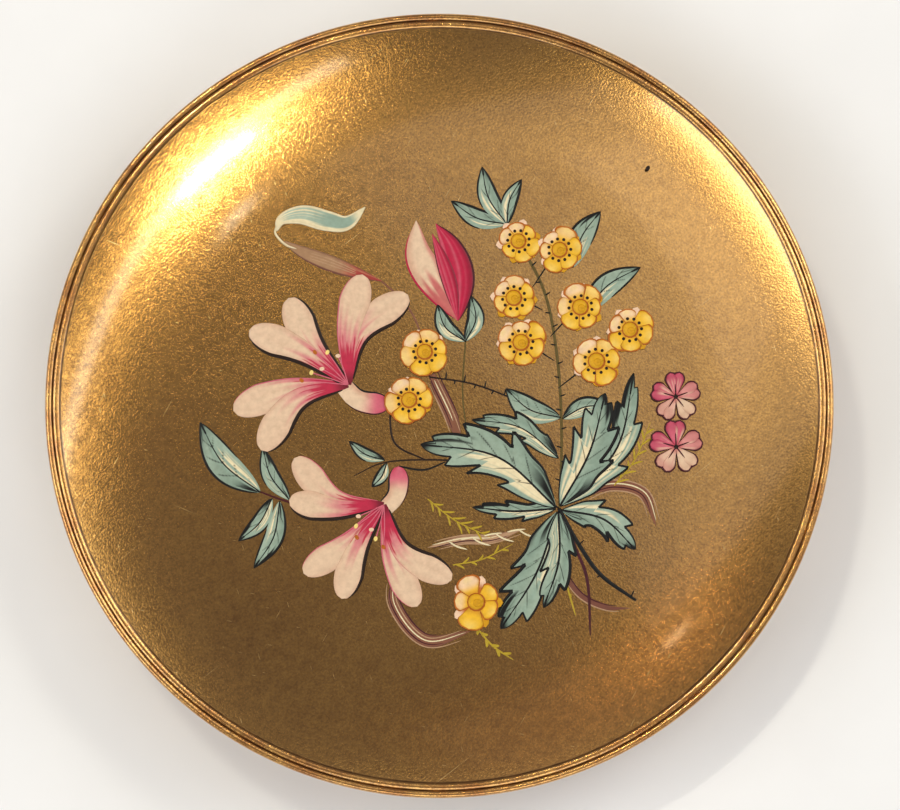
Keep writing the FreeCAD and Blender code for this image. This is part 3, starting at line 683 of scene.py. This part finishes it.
def tube(art, throat, facing, reach):
    """The closed neck of a trumpet flower, seen from the side."""

    def colour(t, s):
        side = blend(CREAM, SHELL, step(s, 0.1, 0.9))
        body = blend(side, PINK, step(t, 0.45, 0.8))
        return blend(body, CRIMSON, step(t, 0.72, 1) * 0.7 * step(np.abs(s + 0.1), 0.1, 0.9))

    shape = rounded(reach * 0.095, 0.8, 0.7)
    start, end = polar(throat, facing + 30, reach * 0.06), polar(throat, facing + 196, reach * 0.4)
    edges = [(1, 0.05, 0.97, 0.18, INK), (-1, 0.3, 0.97, 0.12, WINE)]
    blade(art, [start, polar(throat, facing + 168, reach * 0.17), end], shape, shape, colour, 30, 14, edges)
    return end


def trumpet(art, throat, facing, reach, seed, turns=(-68, 66, 0)):
    """A trumpet flower seen from the side: a neck, and a fan of two-lobed petals. Gives its neck's end."""
    r = default_rng(seed)
    end = tube(art, throat, facing, reach)
    for k, turn in enumerate(turns):
        for side in (-1, 1):
            angle = facing + turn + side * r.uniform(10.5, 13.5)
            length = reach * r.uniform(0.9, 1.04)
            bend = polar(throat, facing + turn * 0.8 + side * 6, length * 0.5)
            tip = polar(throat, angle, length)
            lily_lobe(art, throat, bend, tip, reach * 0.135, seed + 5 * k + side, side)
    stamens(art, throat, facing + 4, reach)
    return end


def leaf(art, base, angle, length, width, seed, bow=0.12, light=1, teeth=0, veins=5, rib=0.14, outline=0.22):
    """A teal leaf at an angle from its base, bowed to its left: ivory streaks on its lit side (light is 1 for
    left, -1 for right), swept veins, a dark edge and dark touches towards the tip."""

    def colour(t, s):
        lit, shade = s * light, -s * light
        tone = blend(TEAL, PALE_TEAL, 0.6 * ragged(s, 7, seed) * step(t, 0.05, 0.5))
        cloud = 0.35 * ragged(s * 0.6 + t, 9, seed + 1) * step(shade, 0, 0.4)
        tone = blend(tone, DEEP_TEAL, step(t, 0.7, 1) * 0.7 + cloud)
        far = 0.35 * ragged(s, 19, seed + 2)
        streak = step(lit, -0.04, 0.06) * fade(np.abs(s), 0.5, 0.85)
        streak = streak * fade(t, 0.3 + far, 0.42 + far) * step(t, 0.02, 0.08)
        tone = blend(tone, IVORY, streak * step(ragged(s, 22, seed + 3), 0.42, 0.56))
        far = 0.4 * ragged(s, 11, seed + 5)
        dark = step(shade, 0.2, 0.6) * step(ragged(s, 15, seed + 4), 0.42, 0.55)
        dark = dark * step(t, 0.5 + far, 0.6 + far)
        root = step(shade, 0.05, 0.3) * step(ragged(s, 15, seed + 6), 0.5, 0.6) * fade(t, 0.1, 0.3)
        tone = blend(tone, INK, clip(dark + root + step(t, 0.9, 0.97), 0, 1))
        band = np.abs(np.mod(t * (veins + 1) - 0.75 * np.abs(s), 1) - 0.5)
        reach = np.where(lit > 0, 0.62, 0.85)
        vein = fade(band, 0.018, 0.055) * fade(np.abs(s) - reach, -0.2, 0)
        return blend(tone, INK, vein * step(t, 0.12, 0.2) * 0.9)

    left, right = leafy(width, 0.42, teeth), leafy(width, 0.42, teeth, 0.45)
    middle = polar(polar(base, angle, length * 0.5), angle + 90, length * bow)
    spine = [base, middle, polar(base, angle, length)]
    edges = [(-light, 0.02, 1, outline * 1.25, INK), (light, 0 if teeth else 0.35, 1, outline * 0.9, INK)]
    blade(art, spine, left, right, colour, 130 if teeth else 50, 33, edges, 0.75 if teeth else 0.35)
    xy, _ = spline(spine, 30)
    stroke(art, xy[:27], rib, INK, (1, 0.1), raw=True)
    stroke(art, xy[25:], 0.2, INK, (0.8, 0.1), raw=True)


def way(a):
    """A unit step at an angle in radians."""
    return np.array((cos(a), sin(a)))


def blossom(art, x, y, radius, seed, dots=True, petals=6):
    """A small yellow flower, blush on its upper left, with back petals showing between the front ones."""
    r, centre = default_rng(seed), np.array((x, y))
    first = r.random() * 1.2
    behind = rounded(radius * 0.24, 0.4, 0.62)
    for k in range(petals):
        a = first + 2 * pi * (k + 0.5) / petals + r.uniform(-0.1, 0.1)
        spine = [centre, centre + way(a) * radius * 1.06]
        rim = BLUSH if sin(a) * 0.7 - cos(a) * 0.6 > 0 else OCHRE
        blade(art, spine, behind, behind, lambda t, s: blend(AMBER, rim, step(t, 0.5, 0.8)), 12, 7)
    for k in range(petals):
        a = first + 2 * pi * k / petals + r.uniform(-0.12, 0.12)
        size = radius * r.uniform(0.84, 1.1)
        far_tone = blend(YELLOW, BLUSH, clip((sin(a) * 0.7 - cos(a) * 0.6) * 1.1, 0, 1))

        def colour(t, s):
            tone = blend(YELLOW, far_tone, step(t, 0.25, 0.7))
            tone = blend(tone, LEMON, step(t, 0.4, 0.95) * 0.5 * fade(np.abs(s), 0.2, 0.9))
            tone = blend(tone, AMBER, fade(t, 0.1, 0.42) * 0.55)
            return blend(tone, OCHRE, step(np.abs(s), 0.65, 1) * 0.5)

        for grow, paint in ((0.13, lambda t, s: flat(AMBER, t)), (0, colour)):
            spine = [centre + way(a) * 0.2 * size, centre + way(a) * (size + grow)]
            shape = rounded(size * r.uniform(0.4, 0.47) + grow, 0.35, 0.62)
            blade(art, spine, shape, shape, paint, 14, 9)
    dot(art, x, y, radius * 0.37, AMBER)
    dot(art, x - 0.04, y + 0.04, radius * 0.31, GOLD)
    dot(art, x + 0.1, y - 0.1, radius * 0.17, OCHRE)
    if dots:
        for k in range(11):
            dot(art, *(centre + way(first + 2 * pi * k / 11) * radius * 0.5), 0.17, SEPIA)


def heart_flower(art, x, y, radius, seed):
    """A small flower of five notched petals, crimson above and cream below right."""
    for k in range(5):
        a = 0.35 + 2 * pi * k / 5
        pale = step(0.55 * cos(a) - 0.85 * sin(a), -0.1, 0.75)
        inside, outside = blend(PINK, CREAM, pale), blend(ROSE, SHELL, pale)

        def colour(t, s):
            tone = blend(inside, outside, step(t, 0.3, 0.95) * 0.5 + 0.5 * step(np.abs(s), 0.4, 1))
            streak = step(ragged(s, 9, seed + k), 0.55, 0.8) * fade(t, 0.55, 0.85)
            return blend(blend(tone, CREAM, streak * 0.6), CRIMSON, fade(t, 0.1, 0.35) * 0.6)

        for grow, paint in ((0.15, lambda t, s: flat(WINE, t)), (0, colour)):
            for lobe in (-0.19, 0.19):
                end = polar((x, y), degrees(a + lobe), radius + grow)
                shape = rounded(radius * 0.225 + grow, 0.1, 0.68)
                blade(art, [(x, y), end], shape, shape, paint, 18, 9)
        stroke(art, [(x, y), (x, y) + way(a) * radius * 0.55], 0.15, WINE, (1, 0), n=10)
    dot(art, x, y, 0.24, SEPIA)


def bud(art, base, facing, reach):
    """A closed bud in two sepals."""

    def at(turn, far):
        return polar(base, facing + turn, far * reach)

    def cream_side(t, s):
        tone = blend(CREAM, SHELL, step(s, 0.2, 1))
        streak = fade(t, 0.1 + 0.35 * ragged(s, 9, 91), 0.28 + 0.35 * ragged(s, 9, 91))
        return blend(tone, CRIMSON, clip(streak * 0.75 + step(-s, 0.55, 0.9) * 0.6, 0, 1))

    def red_side(t, s):
        tone = blend(CRIMSON, PINK, step(ragged(s, 12, 93), 0.5, 0.75) * 0.6)
        return blend(tone, WINE, step(-s, 0.3, 1) * 0.6)

    for knots, left, right, paint, size, line in (  # knots are (turn, share of reach)
        (((-16, 0.5), (-12, 0.75), (-6, 0.95)), (0.12, 0.5), (0.1, 0.45), red_side, (40, 14),
         (-1, 0.02, 1, 0.22, WINE)),
        (((7, 0.45), (8, 0.76), (2, 1.02)), (0.12, 0.52), (0.12, 0.5), cream_side, (44, 18),
         (1, 0.05, 0.9, 0.2, CRIMSON)),
        (((-5, 0.45), (-4, 0.7), (-3, 0.88)), (0.055, 0.5), (0.06, 0.5), red_side, (30, 10),
         (1, 0.15, 0.95, 0.1, WINE)),
    ):
        spine = [at(0, 0.17)] + [at(*knot) for knot in knots]
        sides = [leafy(reach * width, peak) for width, peak in (left, right)]
        blade(art, spine, *sides, paint, *size, [line])
    for turn, bow, light in ((17, 0.16, 1), (-27, -0.16, -1)):
        leaf(art, base, facing + turn, reach * 0.36, reach * 0.062, 15, bow, light, veins=2, outline=0.24)


def fern(art, points, count, size, seed, width=0.13):
    """A feathery stem with short side strokes."""
    xy, normal = spline(points, 40)
    stroke(art, points, width, FERN, (1, 0.1))
    r = default_rng(seed)
    ahead = np.column_stack([normal[:, 1], -normal[:, 0]])
    for k in range(count):
        i = int(2 + (k / count) * 34)
        side = 1 if k % 2 else -1
        reach = size * r.uniform(0.6, 1)
        tip = xy[i] + normal[i] * side * reach * 0.6 + ahead[i] * reach * 0.8
        mid = (xy[i] + tip) / 2 + ahead[i] * 0.1
        stroke(art, [xy[i], mid, tip], width * 1.6, FERN, (0.5, 0.2), n=10)


def tendril(art, points, width, shade, seed, lines=4):
    """A soft curl of thin paint with finer lines along it."""

    def colour(t, s):
        return blend(shade, MAUVE, step(np.abs(s), 0.5, 1) * 0.8)

    shape = leafy(width, 0.5)
    blade(art, points, shape, shape, colour, 44, 9)
    xy, normal = spline(points, 40)
    r = default_rng(seed)
    for k in range(lines):
        offset = width * (-0.9 + 1.8 * k / (lines - 1))
        low, high = int(r.uniform(1, 8)), int(r.uniform(28, 39))
        line, shade_k = (xy + normal * offset)[low:high], (FAWN, WINE, IVORY)[k % 3]
        stroke(art, line, 0.14, shade_k, (0.2, 0.1), raw=True)


def thorny(art, points, width, shade, count, size=0.55, first=0):
    """A stem with a thorn to each side in turn."""
    stroke(art, points, width, shade, (0.5, 1), n=70)
    xy, normal = spline(points, 60)
    for k in range(count):
        i = int(3 + 60 * first + k * (54 - 60 * first) / count)
        end = xy[i] + normal[i] * (size if k % 2 else -size) + np.array([0, 0.18])
        stroke(art, [xy[i], (xy[i] + end) / 2, end], 0.15, INK, (1, 0), n=8)


def along(points, t):
    """Place and left-hand normal at a share t of a curve's length."""
    xy, normal = spline(points, 101)
    return xy[int(t * 100)], normal[int(t * 100)]


NODE = (12.3, -11.4)  # where the spray's leaves and stems meet
BRANCH = [NODE, (12.6, -4), (12.2, 4), (10.9, 11), (8.2, 16.4)]
TWIG = [(12.4, -2.2), (8, -0.2), (3.4, 1.5), (-1, 2.2)]
BUD_STEM = [(2.9, -4), (2.4, 0.6), (2.7, 6)]
LILY_STEM = [NODE, (7, -7), (0.6, -6.4), (-5.4, -6.6), (-8.8, -8)]

wash = Art("painted_tendrils", 0.012)
tendril(wash, [(14.2, -10.4), (17.6, -9), (21, -9.8), (22.3, -13.2)], 0.62, EARTH, 61)
tendril(wash, [(-4.4, -17.4), (-4.6, -21.2), (-1.4, -24.9), (3.4, -23.9)], 0.72, EARTH, 62, 5)
tendril(wash, [(-1.2, -15.4), (2.4, -14.6), (5.4, -14.5), (8.8, -13.4)], 0.5, FAWN, 63)
tendril(wash, [(-1.2, 3.4), (-0.3, 1.4), (1.2, -1.8), (2.3, -5)], 0.75, EARTH, 64, 5)
LOWER_CURL = [(-16.2, 16.4), (-14.4, 15.3), (-11.4, 14.1), (-5.9, 12.2)]


def fallen(t, s):
    tone = blend(linear("#A5805F"), linear("#B06A52"), step(t, 0.5, 0.75))
    tone = blend(tone, linear("#A23A36"), step(t, 0.6, 0.8) * step(ragged(s, 8, 68), 0.3, 0.6))
    return blend(tone, MAUVE, step(np.abs(s), 0.7, 1) * 0.7)


blade(wash, LOWER_CURL, leafy(0.85, 0.42), leafy(0.75, 0.5), fallen, 44, 15, [(-1, 0.1, 1, 0.16, MAUVE)])
for offset in (-0.3, 0, 0.3):
    line = [(-13.4, 14.9 + offset), (-11, 14.1 + offset), (-8.6, 13.1 + offset * 0.6)]
    stroke(wash, line, 0.13, FAWN, (0.2, 0.1))
tendril(wash, [(12.4, -17.4), (14.4, -20.2), (17, -21.5), (19.6, -21.6)], 0.32, MAUVE, 66, 2)
stroke(wash, [(-6, 12.2), (-4.2, 10.6), (-2.7, 8.6), (-1.5, 5.6)], 0.2, EARTH, (1, 0.5))
stroke(wash, BUD_STEM, 0.17, OLIVE, (0.4, 1))
fern(wash, [(18, -9), (20.2, -6.2), (21.8, -2.4)], 11, 1.5, 21)
fern(wash, [(-1.2, -10.4), (1.6, -12.6), (5.4, -14.4)], 12, 1.5, 22)
fern(wash, [(1.4, -17.2), (4.4, -16.6), (7.6, -15)], 7, 1.1, 23)
fern(wash, [(3.7, -23.4), (5.4, -25.4), (7.6, -26.9)], 6, 1, 24, 0.2)
fern(wash, [(12.8, -18), (13.3, -20), (14, -22.4)], 2, 0.5, 25, 0.2)
for k in range(7):
    x, y = 1 + 1.2 * k, -14.8 + 0.2 * k
    rise = 0.3 if k % 2 else -0.8
    stroke(wash, [(x, y), (x + 0.8, y + rise * 0.6), (x + 1.9, y + rise)], 0.19, IVORY, (0.5, 0), n=12)

stems = Art("painted_stems", 0.03)
thorny(stems, BRANCH, 0.3, OLIVE, 15)
thorny(stems, TWIG, 0.17, SEPIA, 9, 0.6, 0.25)
stroke(stems, LILY_STEM, 0.18, SEPIA, (1, 0.3), n=70)
stroke(stems, [(-18.8, -9.5), (-16.4, -10.4), (-13, -11.4), (-9, -12)], 0.22, WINE, (0.4, 0.9))
stroke(stems, [NODE, (13.9, -15.2), (15.2, -18.8), (15.5, -24.4)], 0.32, WINE, (1, 0.15), n=50)
thorny(stems, [(20.2, -20.8), (16.6, -18.2), (14.3, -15), NODE], 0.42, INK, 3, 0.6)

foliage = Art("painted_leaves", 0.05)
for angle, length in ((157, 6.3), (113, 6.6), (72, 5)):
    leaf(foliage, (7, 18.2), angle, length, length * 0.15, angle, 0.1, 1, veins=2)
for t, angle, length in ((0.78, 64, 6.6), (0.62, 40, 7.8)):
    (x, y), (nx, ny) = along(BRANCH, t)
    leaf(foliage, (x - nx * 3, y - ny * 3 + 2), angle, length, 1.2, int(90 * t), 0.09, -1, veins=3)
leaf(foliage, (12.5, -2), 152, 6.4, 1.2, 37, 0.12, 1, veins=4)
leaf(foliage, (12.7, -2.1), 14, 5.2, 0.95, 38, 0.12, -1, veins=4)
leaf(foliage, (12.3, -6.2), 156, 9.8, 1.4, 39, -0.13, 1, teeth=3, veins=4)
WHORL = (  # angle, length, half width, bow and lit side of each leaf round the node
    (179, 8.6, 1.1, 0.04, 1), (155, 15.4, 3, -0.14, 1), (61, 15.8, 2, -0.14, -1), (68, 12.6, 2.6, -0.06, 1),
    (-28, 8.6, 1.9, 0.14, 1), (-116, 13.4, 2.8, 0.06, 1), (-99, 10, 1.8, 0.08, -1),
)
for k, (angle, length, width, bow, light) in enumerate(WHORL):
    teeth, veins = 3 + (length > 12), int(length * 0.45)
    leaf(foliage, polar(NODE, angle, 0.3), angle, length, width, 41 + k, bow, light, teeth, veins, 0.22, 0.26)
for base, angle, length, width, light in (
    ((-18.4, -9.7), 131, 9.6, 1.5, -1), ((-15.4, -10.5), 117, 6.2, 0.85, 1),
    ((-17.2, -10.3), 232, 5.6, 0.8, 1), ((-16.4, -10.6), 249, 7.4, 0.95, -1),
    ((-5.6, -6.4), 152, 4.2, 0.6, 1), ((-5.4, -6.7), 238, 2.9, 0.55, 1),
):
    leaf(foliage, base, angle, length, width, int(angle), 0.1, light, veins=int(length * 0.5), outline=0.2)
CURL = [(-16.9, 17.5), (-16.3, 18.7), (-14.2, 19.2), (-11.6, 18.6), (-9.6, 18.4), (-7.7, 20)]


def curl_colour(t, s):
    tone = blend(PALE_TEAL, TEAL, step(t, 0.3, 0.6))
    pale = step(ragged(s, 13, 71), 0.45, 0.6) * fade(t, 0.35, 0.6)
    pale = pale + fade(t, 0.08, 0.22) + step(-s, 0.62, 0.8) + step(s, 0.8, 0.95)
    tone = blend(tone, IVORY, clip(pale, 0, 1))
    return blend(tone, IVORY, step(t, 0.8, 0.92))


blade(foliage, CURL, leafy(0.95, 0.45), leafy(1, 0.5), curl_colour, 60, 27,
      [(1, 0, 1, 0.2, IVORY), (-1, 0, 1, 0.3, IVORY)])
stroke(foliage, [(-16.9, 18.1), (-17, 17.2), (-16, 16.1), (-14.8, 15.6)], 0.22, IVORY, (0.6, 0.1))

flowers = Art("painted_lilies", 0.085)
bud(flowers, (2.7, 5.9), 110, 13.4)
neck = trumpet(flowers, (-9.4, 1.4), 138, 11.8, 101)
stroke(stems, [neck, (-4.6, -4.6), (-1.4, -6.4)], 0.2, SEPIA, (0.8, 0.6))
neck = trumpet(flowers, (-5.7, -11), 233, 10.6, 131)
stroke(stems, [neck, (-1.6, -7.4), (0.6, -6.6)], 0.2, INK, (0.9, 0.5))

small = Art("painted_blossoms", 0.12)
for k in range(6):
    (x, y), (nx, ny) = along(BRANCH, 1 - 0.095 * k)
    out = (0, -3.3, 3.2, -3.2, 3.5, -4)[k]
    head = (x + nx * out, y + ny * out)
    stroke(stems, [(x, y - 2.4), (x + nx * out * 0.6, y + ny * out * 0.6 - 0.8), head], 0.16, INK)
    blossom(small, *head, 2.25 + 0.05 * k, 200 + k)
(x, y), _ = along(BRANCH, 0.7)
blossom(small, x + 8.2, y - 1.4, 2.35, 231)
for k, drop in enumerate((2.6, -2.4)):
    blossom(small, TWIG[-1][0] - 0.5 - 1.6 * k, TWIG[-1][1] + drop, 2.3, 241 + k)
blossom(small, 3.8, -21, 2.6, 251, dots=False, petals=5)
for k in range(2):
    heart_flower(small, 24.4, 0.2 - 5.2 * k, 2.5 + 0.2 * k, 260 + 10 * k)
dot(small, 21.7, 24.2, 0.3, SEPIA, 0.7, 1)

for art in (wash, stems, foliage, flowers, small):
    art.make()

# --- Base ---
BASE_R = LID_R - 0.5
FOOT_R, SLOPE, WALL_Z, LIP_Z, PART_Z = 27, radians(16), 5.35, 6.4, 7
LIP = 0.3  # radius of the half-round lip
WALL = 0.5
BACK = 1 - sin(SLOPE)
CORNER = (WALL_Z - (BASE_R - FOOT_R) * tan(SLOPE / 2)) / (cos(SLOPE) - BACK * tan(SLOPE / 2))
UNDER = (BASE_R - CORNER * BACK - FOOT_R) / sin(SLOPE)
CATCH_SLOT = ((-5.1, -LID_R - 1, 5), (5.1, -38.9, 8))
RING_IN, RING_OUT, RING_FADE = 2, 34, 3  # the engine turning's radii, and how fast it fades


def base_section():
    def below(centre, radius, start, end, n):
        x, z = centre
        return [(x + radius * sin(a), z - radius * cos(a)) for a in linspace(start, end, n)]

    corner, under = (BASE_R - CORNER, WALL_Z), (FOOT_R, UNDER)
    pts = [(0, 0)] + [(r, 0) for r in linspace(1, FOOT_R, 60)]
    pts += below(under, UNDER, 0, SLOPE, 34)[1:]
    pts += below(corner, CORNER, SLOPE, pi / 2, 24)[1:]
    pts += [(BASE_R, LIP_Z)]
    pts += below((BASE_R, PART_Z - LIP), LIP, 0.15, pi, 12)
    pts += [(BASE_R - WALL, PART_Z), (BASE_R - WALL, WALL_Z)]
    pts += below(corner, CORNER - WALL, pi / 2, SLOPE, 8)[1:]
    pts += below(under, UNDER - WALL, SLOPE, 0, 8)[1:]
    return pts + [(0, WALL)]


def turned(r, z, a):
    """Engine-turned waves on the underside, cut upward into the metal."""
    on_edge = FOOT_R - 1.2 < r < FOOT_R + 0.4
    if z > 0.45 or r < RING_IN or r > RING_OUT or on_edge:
        return 0
    inner = sin(pi * min(1, (r - RING_IN) / RING_FADE) / 2)
    swell = inner * sin(pi * min(1, (RING_OUT - r) / RING_FADE) / 2)
    return 0.05 * swell * (1 + sin(36 * (a + 0.16 * sin(r * 0.55)))) / 2


base_dish = lathe("base_dish", base_section(), 360, turned)
carve(base_dish, block(*NOTCH), block(*CATCH_SLOT))
dress(base_dish, BASE_BRASS, "base", ["base_shell"])

SIDE_PLAY = 0.1  # keeps the button's sides off the collar when it is pressed


def shell(name, front, back, columns, angle=35):
    """A closed shell between two grids of points, row after row, in millimetres."""
    rows, up = len(front) // columns, len(front)
    cells = [i * columns + j for i in range(rows - 1) for j in range(columns - 1)]
    faces = []
    for a in cells:
        faces.append((a, a + 1, a + columns + 1, a + columns))
        faces.append((a + up, a + up + columns, a + up + columns + 1, a + up + 1))
    rim = [(i * columns + j, (i + 1) * columns + j) for i in range(rows - 1) for j in (0, columns - 1)]
    rim += [(i * columns + j, i * columns + j + 1) for j in range(columns - 1) for i in (0, rows - 1)]
    faces += [(a, b, b + up, a + up) for a, b in rim]
    return new_object(name, [tuple(v * MM for v in point) for point in front + back], faces, angle)


def press_button():
    """Thumb button with rounded ribs on its curved face."""
    low, high = (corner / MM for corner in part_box("catch_button"))
    half, ribs = high.x - SIDE_PLAY, 9
    ease = ((0, -0.25), (0.08, -0.08), (0.25, 0))  # how the face rolls over to the top and bottom
    rows = [(low.z + up, inset) for up, inset in ease] + [(high.z - up, inset) for up, inset in ease[::-1]]
    front, back = [], []
    for z, inset in rows:
        for x in linspace(-half, half, 81):
            edge = min(1, (half - abs(x)) / 0.35)
            rib = -0.13 * (0.5 - 0.5 * cos((x + half) / (2 * half) * 2 * pi * ribs)) * edge
            side = 0.16 * (1 - sqrt(max(0, 1 - (1 - edge) ** 2)))
            front.append((x, -sqrt(low.y**2 - x**2) - inset - rib + side, z))
            back.append((x, high.y, z))
    return shell("press_button", front, back, 81, 40)


dress(press_button(), POLISHED, "thumb_catch", ["catch_button"])

# --- Powder, gauze, puff and ribbon ---
powder_r, powder_z0, powder_z1 = disc("loose_powder")
rough = default_rng(5).random((64, 64))


def crumbs(r, z, a):
    if z < powder_z1 - 0.9:
        return 0
    i, j = int(r * 1.7) % 64, int(a * 10) % 64
    return 0.16 * (rough[i, j] - 0.5) * (1 if r < powder_r - 1 else 0)


section = [(0, powder_z0), (powder_r, powder_z0), (powder_r, powder_z1 - 0.5)]
section += [(r, powder_z1 - 0.1 - 0.4 * (r / powder_r) ** 2) for r in linspace(powder_r - 0.6, 1, 44)]
dress(lathe("face_powder", section + [(0, powder_z1 - 0.1)], 120, crumbs), POWDER, "base",
      ["loose_powder"])

gauze_r, gauze_z, _ = disc("sifter_gauze")


def slack(r, z, a):
    return 0.02 * sin(r * 0.7) * sin(5 * a)


GAUZE_LOW, GAUZE_HIGH = gauze_z + 0.02, gauze_z + 0.08
rings = list(linspace(1, gauze_r, 30))
section = [(0, GAUZE_LOW)] + [(r, GAUZE_LOW) for r in rings] + [(r, GAUZE_HIGH) for r in rings[::-1]]
gauze = dress(lathe("silk_gauze", section + [(0, GAUZE_HIGH)], 144, slack), GAUZE, "base",
              ["sifter_gauze"])

puff_r, puff_z0, puff_z1 = disc("powder_puff")
BUMP_RANGES = ((0, 2 * pi), (3, 27), (0.05, 0.16), (4, 8))  # angle, radius, height and width
bumps = [[rng.uniform(*limits) for limits in BUMP_RANGES] for _ in range(26)]


def pile(r, z, a):
    """Small hollows and swells over the top of the pad."""
    if z < puff_z0 + 1:
        return 0
    x, y = r * cos(a), r * sin(a)
    total = 0
    for ba, br, h, w in bumps:
        d = (x - br * cos(ba)) ** 2 + (y - br * sin(ba)) ** 2
        total += h * exp(-d / w**2) * (1 if int(br) % 2 else -1)
    return total + 0.03 * sin(3.1 * x + 1.3 * y) * sin(2.3 * y)


def crown_z(r):
    """Height of the puff's crown at radius r."""
    return puff_z1 + 0.35 - 0.4 * (r / puff_r) ** 4


def puff_section():
    pts = [(0, puff_z0 + 0.02)] + [(r, puff_z0 + 0.02) for r in linspace(2, puff_r - 1.6, 20)]
    for a in linspace(-0.5 * pi, 0.5 * pi, 22)[1:-1]:
        belly = 1.5 * cos(a)
        pinch = 0.22 * exp(-(a / 0.12) ** 2)
        pts.append((puff_r - 1.6 + belly - pinch, puff_z0 + 1.5 + 1.45 * sin(a)))
    pts += [(r, crown_z(r)) for r in linspace(puff_r - 1.7, 1, 60)]
    return pts + [(0, crown_z(0))]


puff = dress(lathe("velour_puff", puff_section(), 240, pile), VELOUR, "base", ["powder_puff"])


def satin_band():
    """Ribbon across the puff, raised a little for the fingers."""
    low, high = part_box("puff_ribbon")
    half, reach = high.x / MM, high.y / MM - 0.6
    ys, xs = linspace(-reach, reach, 90), linspace(-half, half, 26)
    sides = []
    for lift in (0, 0.12):
        for y in ys:
            rise = 0.16 * (1 - (y / reach) ** 2)
            narrow = 1 - 0.06 * (1 - (y / reach) ** 2)
            for x in xs:
                fold = 0.035 * sin(x * 1.7 + 0.5 * sin(y * 0.3)) * (y / reach) ** 2
                sides.append((x * narrow, y, crown_z(hypot(x, y)) + 0.07 + rise + fold + lift))
    middle = len(sides) // 2
    band = shell("satin_band", sides[:middle], sides[middle:], len(xs))
    dress(band, SATIN, "base", ["puff_ribbon"])


satin_band()

# --- CAD nodes that keep their shape ---
KEPT = (
    (MIRROR, "mirror"),
    (CARD, "mirror_card"),
    (POLISHED, "mirror_frame inner_lid base_collar powder_well sifter_ring"),
    (FITTING, "lid_hinge_leaf base_hinge_leaf inner_lid_hinge_leaf inner_lid_tab inner_hinge_bracket"),
    (FITTING, "inner_lid_rivets bracket_rivets catch_rivet"),
    (STEEL, "hinge_pin inner_hinge_pin lift_spring lid_strike catch_slide catch_guide catch_spring"),
)
for material, names in KEPT:
    for name in names.split():
        dress(nodes[name], material)
        smooth(nodes[name].data, 30)

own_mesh(nodes["catch_spring"])


# --- Floor, light and camera ---
FLOOR_HALF, FLOOR_Z = 1.6, -0.02 * MM
corners = [(x, y, FLOOR_Z) for x in (-FLOOR_HALF, FLOOR_HALF) for y in (-FLOOR_HALF, FLOOR_HALF)]
floor = new_object("floor", corners, [(0, 2, 3, 1)])
pale = Graph("pale_floor")
tone = pale.mix(pale.fit(pale.noise(40, 4), 0.3, 0.7), "#F2F4F8", "#ECEEF2")
floor.data.materials.append(pale.set(color=tone, rough=0.75))


def softbox(name, azimuth, off, distance, size, radiance, color):
    """A lamp of width and depth size in the direction azimuth, off degrees from straight up, that looks as
    bright as radiance says."""
    data = bpy.data.lights.new(name, "AREA")
    data.shape, data.size, data.size_y = "RECTANGLE", size[0], size[1]
    data.energy, data.color = radiance * pi * size[0] * size[1], color
    lamp = placed(name, data)
    a, tilt = radians(azimuth), radians(off)
    way = Vector((sin(tilt) * cos(a), sin(tilt) * sin(a), cos(tilt)))
    lamp.location = way * distance + Vector((0, 0, TOP_Z * MM))
    lamp.rotation_mode = "QUATERNION"
    lamp.rotation_quaternion = way.to_track_quat("Z", "Y")


PALE, WHITE, COOL = (1, 0.93, 0.74), (1, 0.97, 0.93), (0.97, 0.99, 1)
softbox("window", 143, 33, 1, (0.90, 0.045), 8.5, PALE)
softbox("lamp", 126, 32.5, 1, (0.12, 0.022), 170, PALE)
softbox("small_lamp", 125, 20.5, 1, (0.04, 0.04), 13, PALE)
softbox("wide_glow", 38, 22, 1.2, (0.85, 0.7), 0.54, WHITE)
softbox("glow_heart", 42, 25, 1.2, (0.42, 0.3), 0.6, WHITE)
softbox("low_glow", 41, 43, 1.1, (0.5, 0.14), 7, PALE)
softbox("candle", -35, 24.5, 1, (0.04, 0.01), 42, (1, 0.66, 0.36))
softbox("ember", -55, 25, 1, (0.5, 0.3), 0.25, (1, 0.66, 0.4))
softbox("left_fill", 195, 52, 1.1, (0.9, 0.5), 3, COOL)
softbox("right_fill", 20, 56, 1.1, (0.9, 0.5), 2.4, COOL)
softbox("front_fill", 275, 52, 1.1, (0.9, 0.5), 2, COOL)

scene = bpy.context.scene
world = bpy.data.worlds.new("dim_room")
world.use_nodes = True
glow = world.node_tree.nodes["Background"].inputs
glow[0].default_value, glow[1].default_value = (1, 0.9, 0.8, 1), 0.285
scene.world = world
scene.view_settings.view_transform = "Standard"
scene.view_settings.look = "None"

ELEVATION, DISTANCE = radians(84), 0.35
data = bpy.data.cameras.new("camera")
camera = placed("camera", data)
aim = Vector((0.0011, -0.0004, BEAD_Z * MM))
back = Vector((0, -cos(ELEVATION), sin(ELEVATION)))
camera.location = aim + back * DISTANCE
camera.rotation_mode = "QUATERNION"
camera.rotation_quaternion = back.to_track_quat("Z", "Y")
data.sensor_width = 36
data.lens = 134.7
data.clip_start, data.clip_end = 0.01, 20
scene.camera = camera
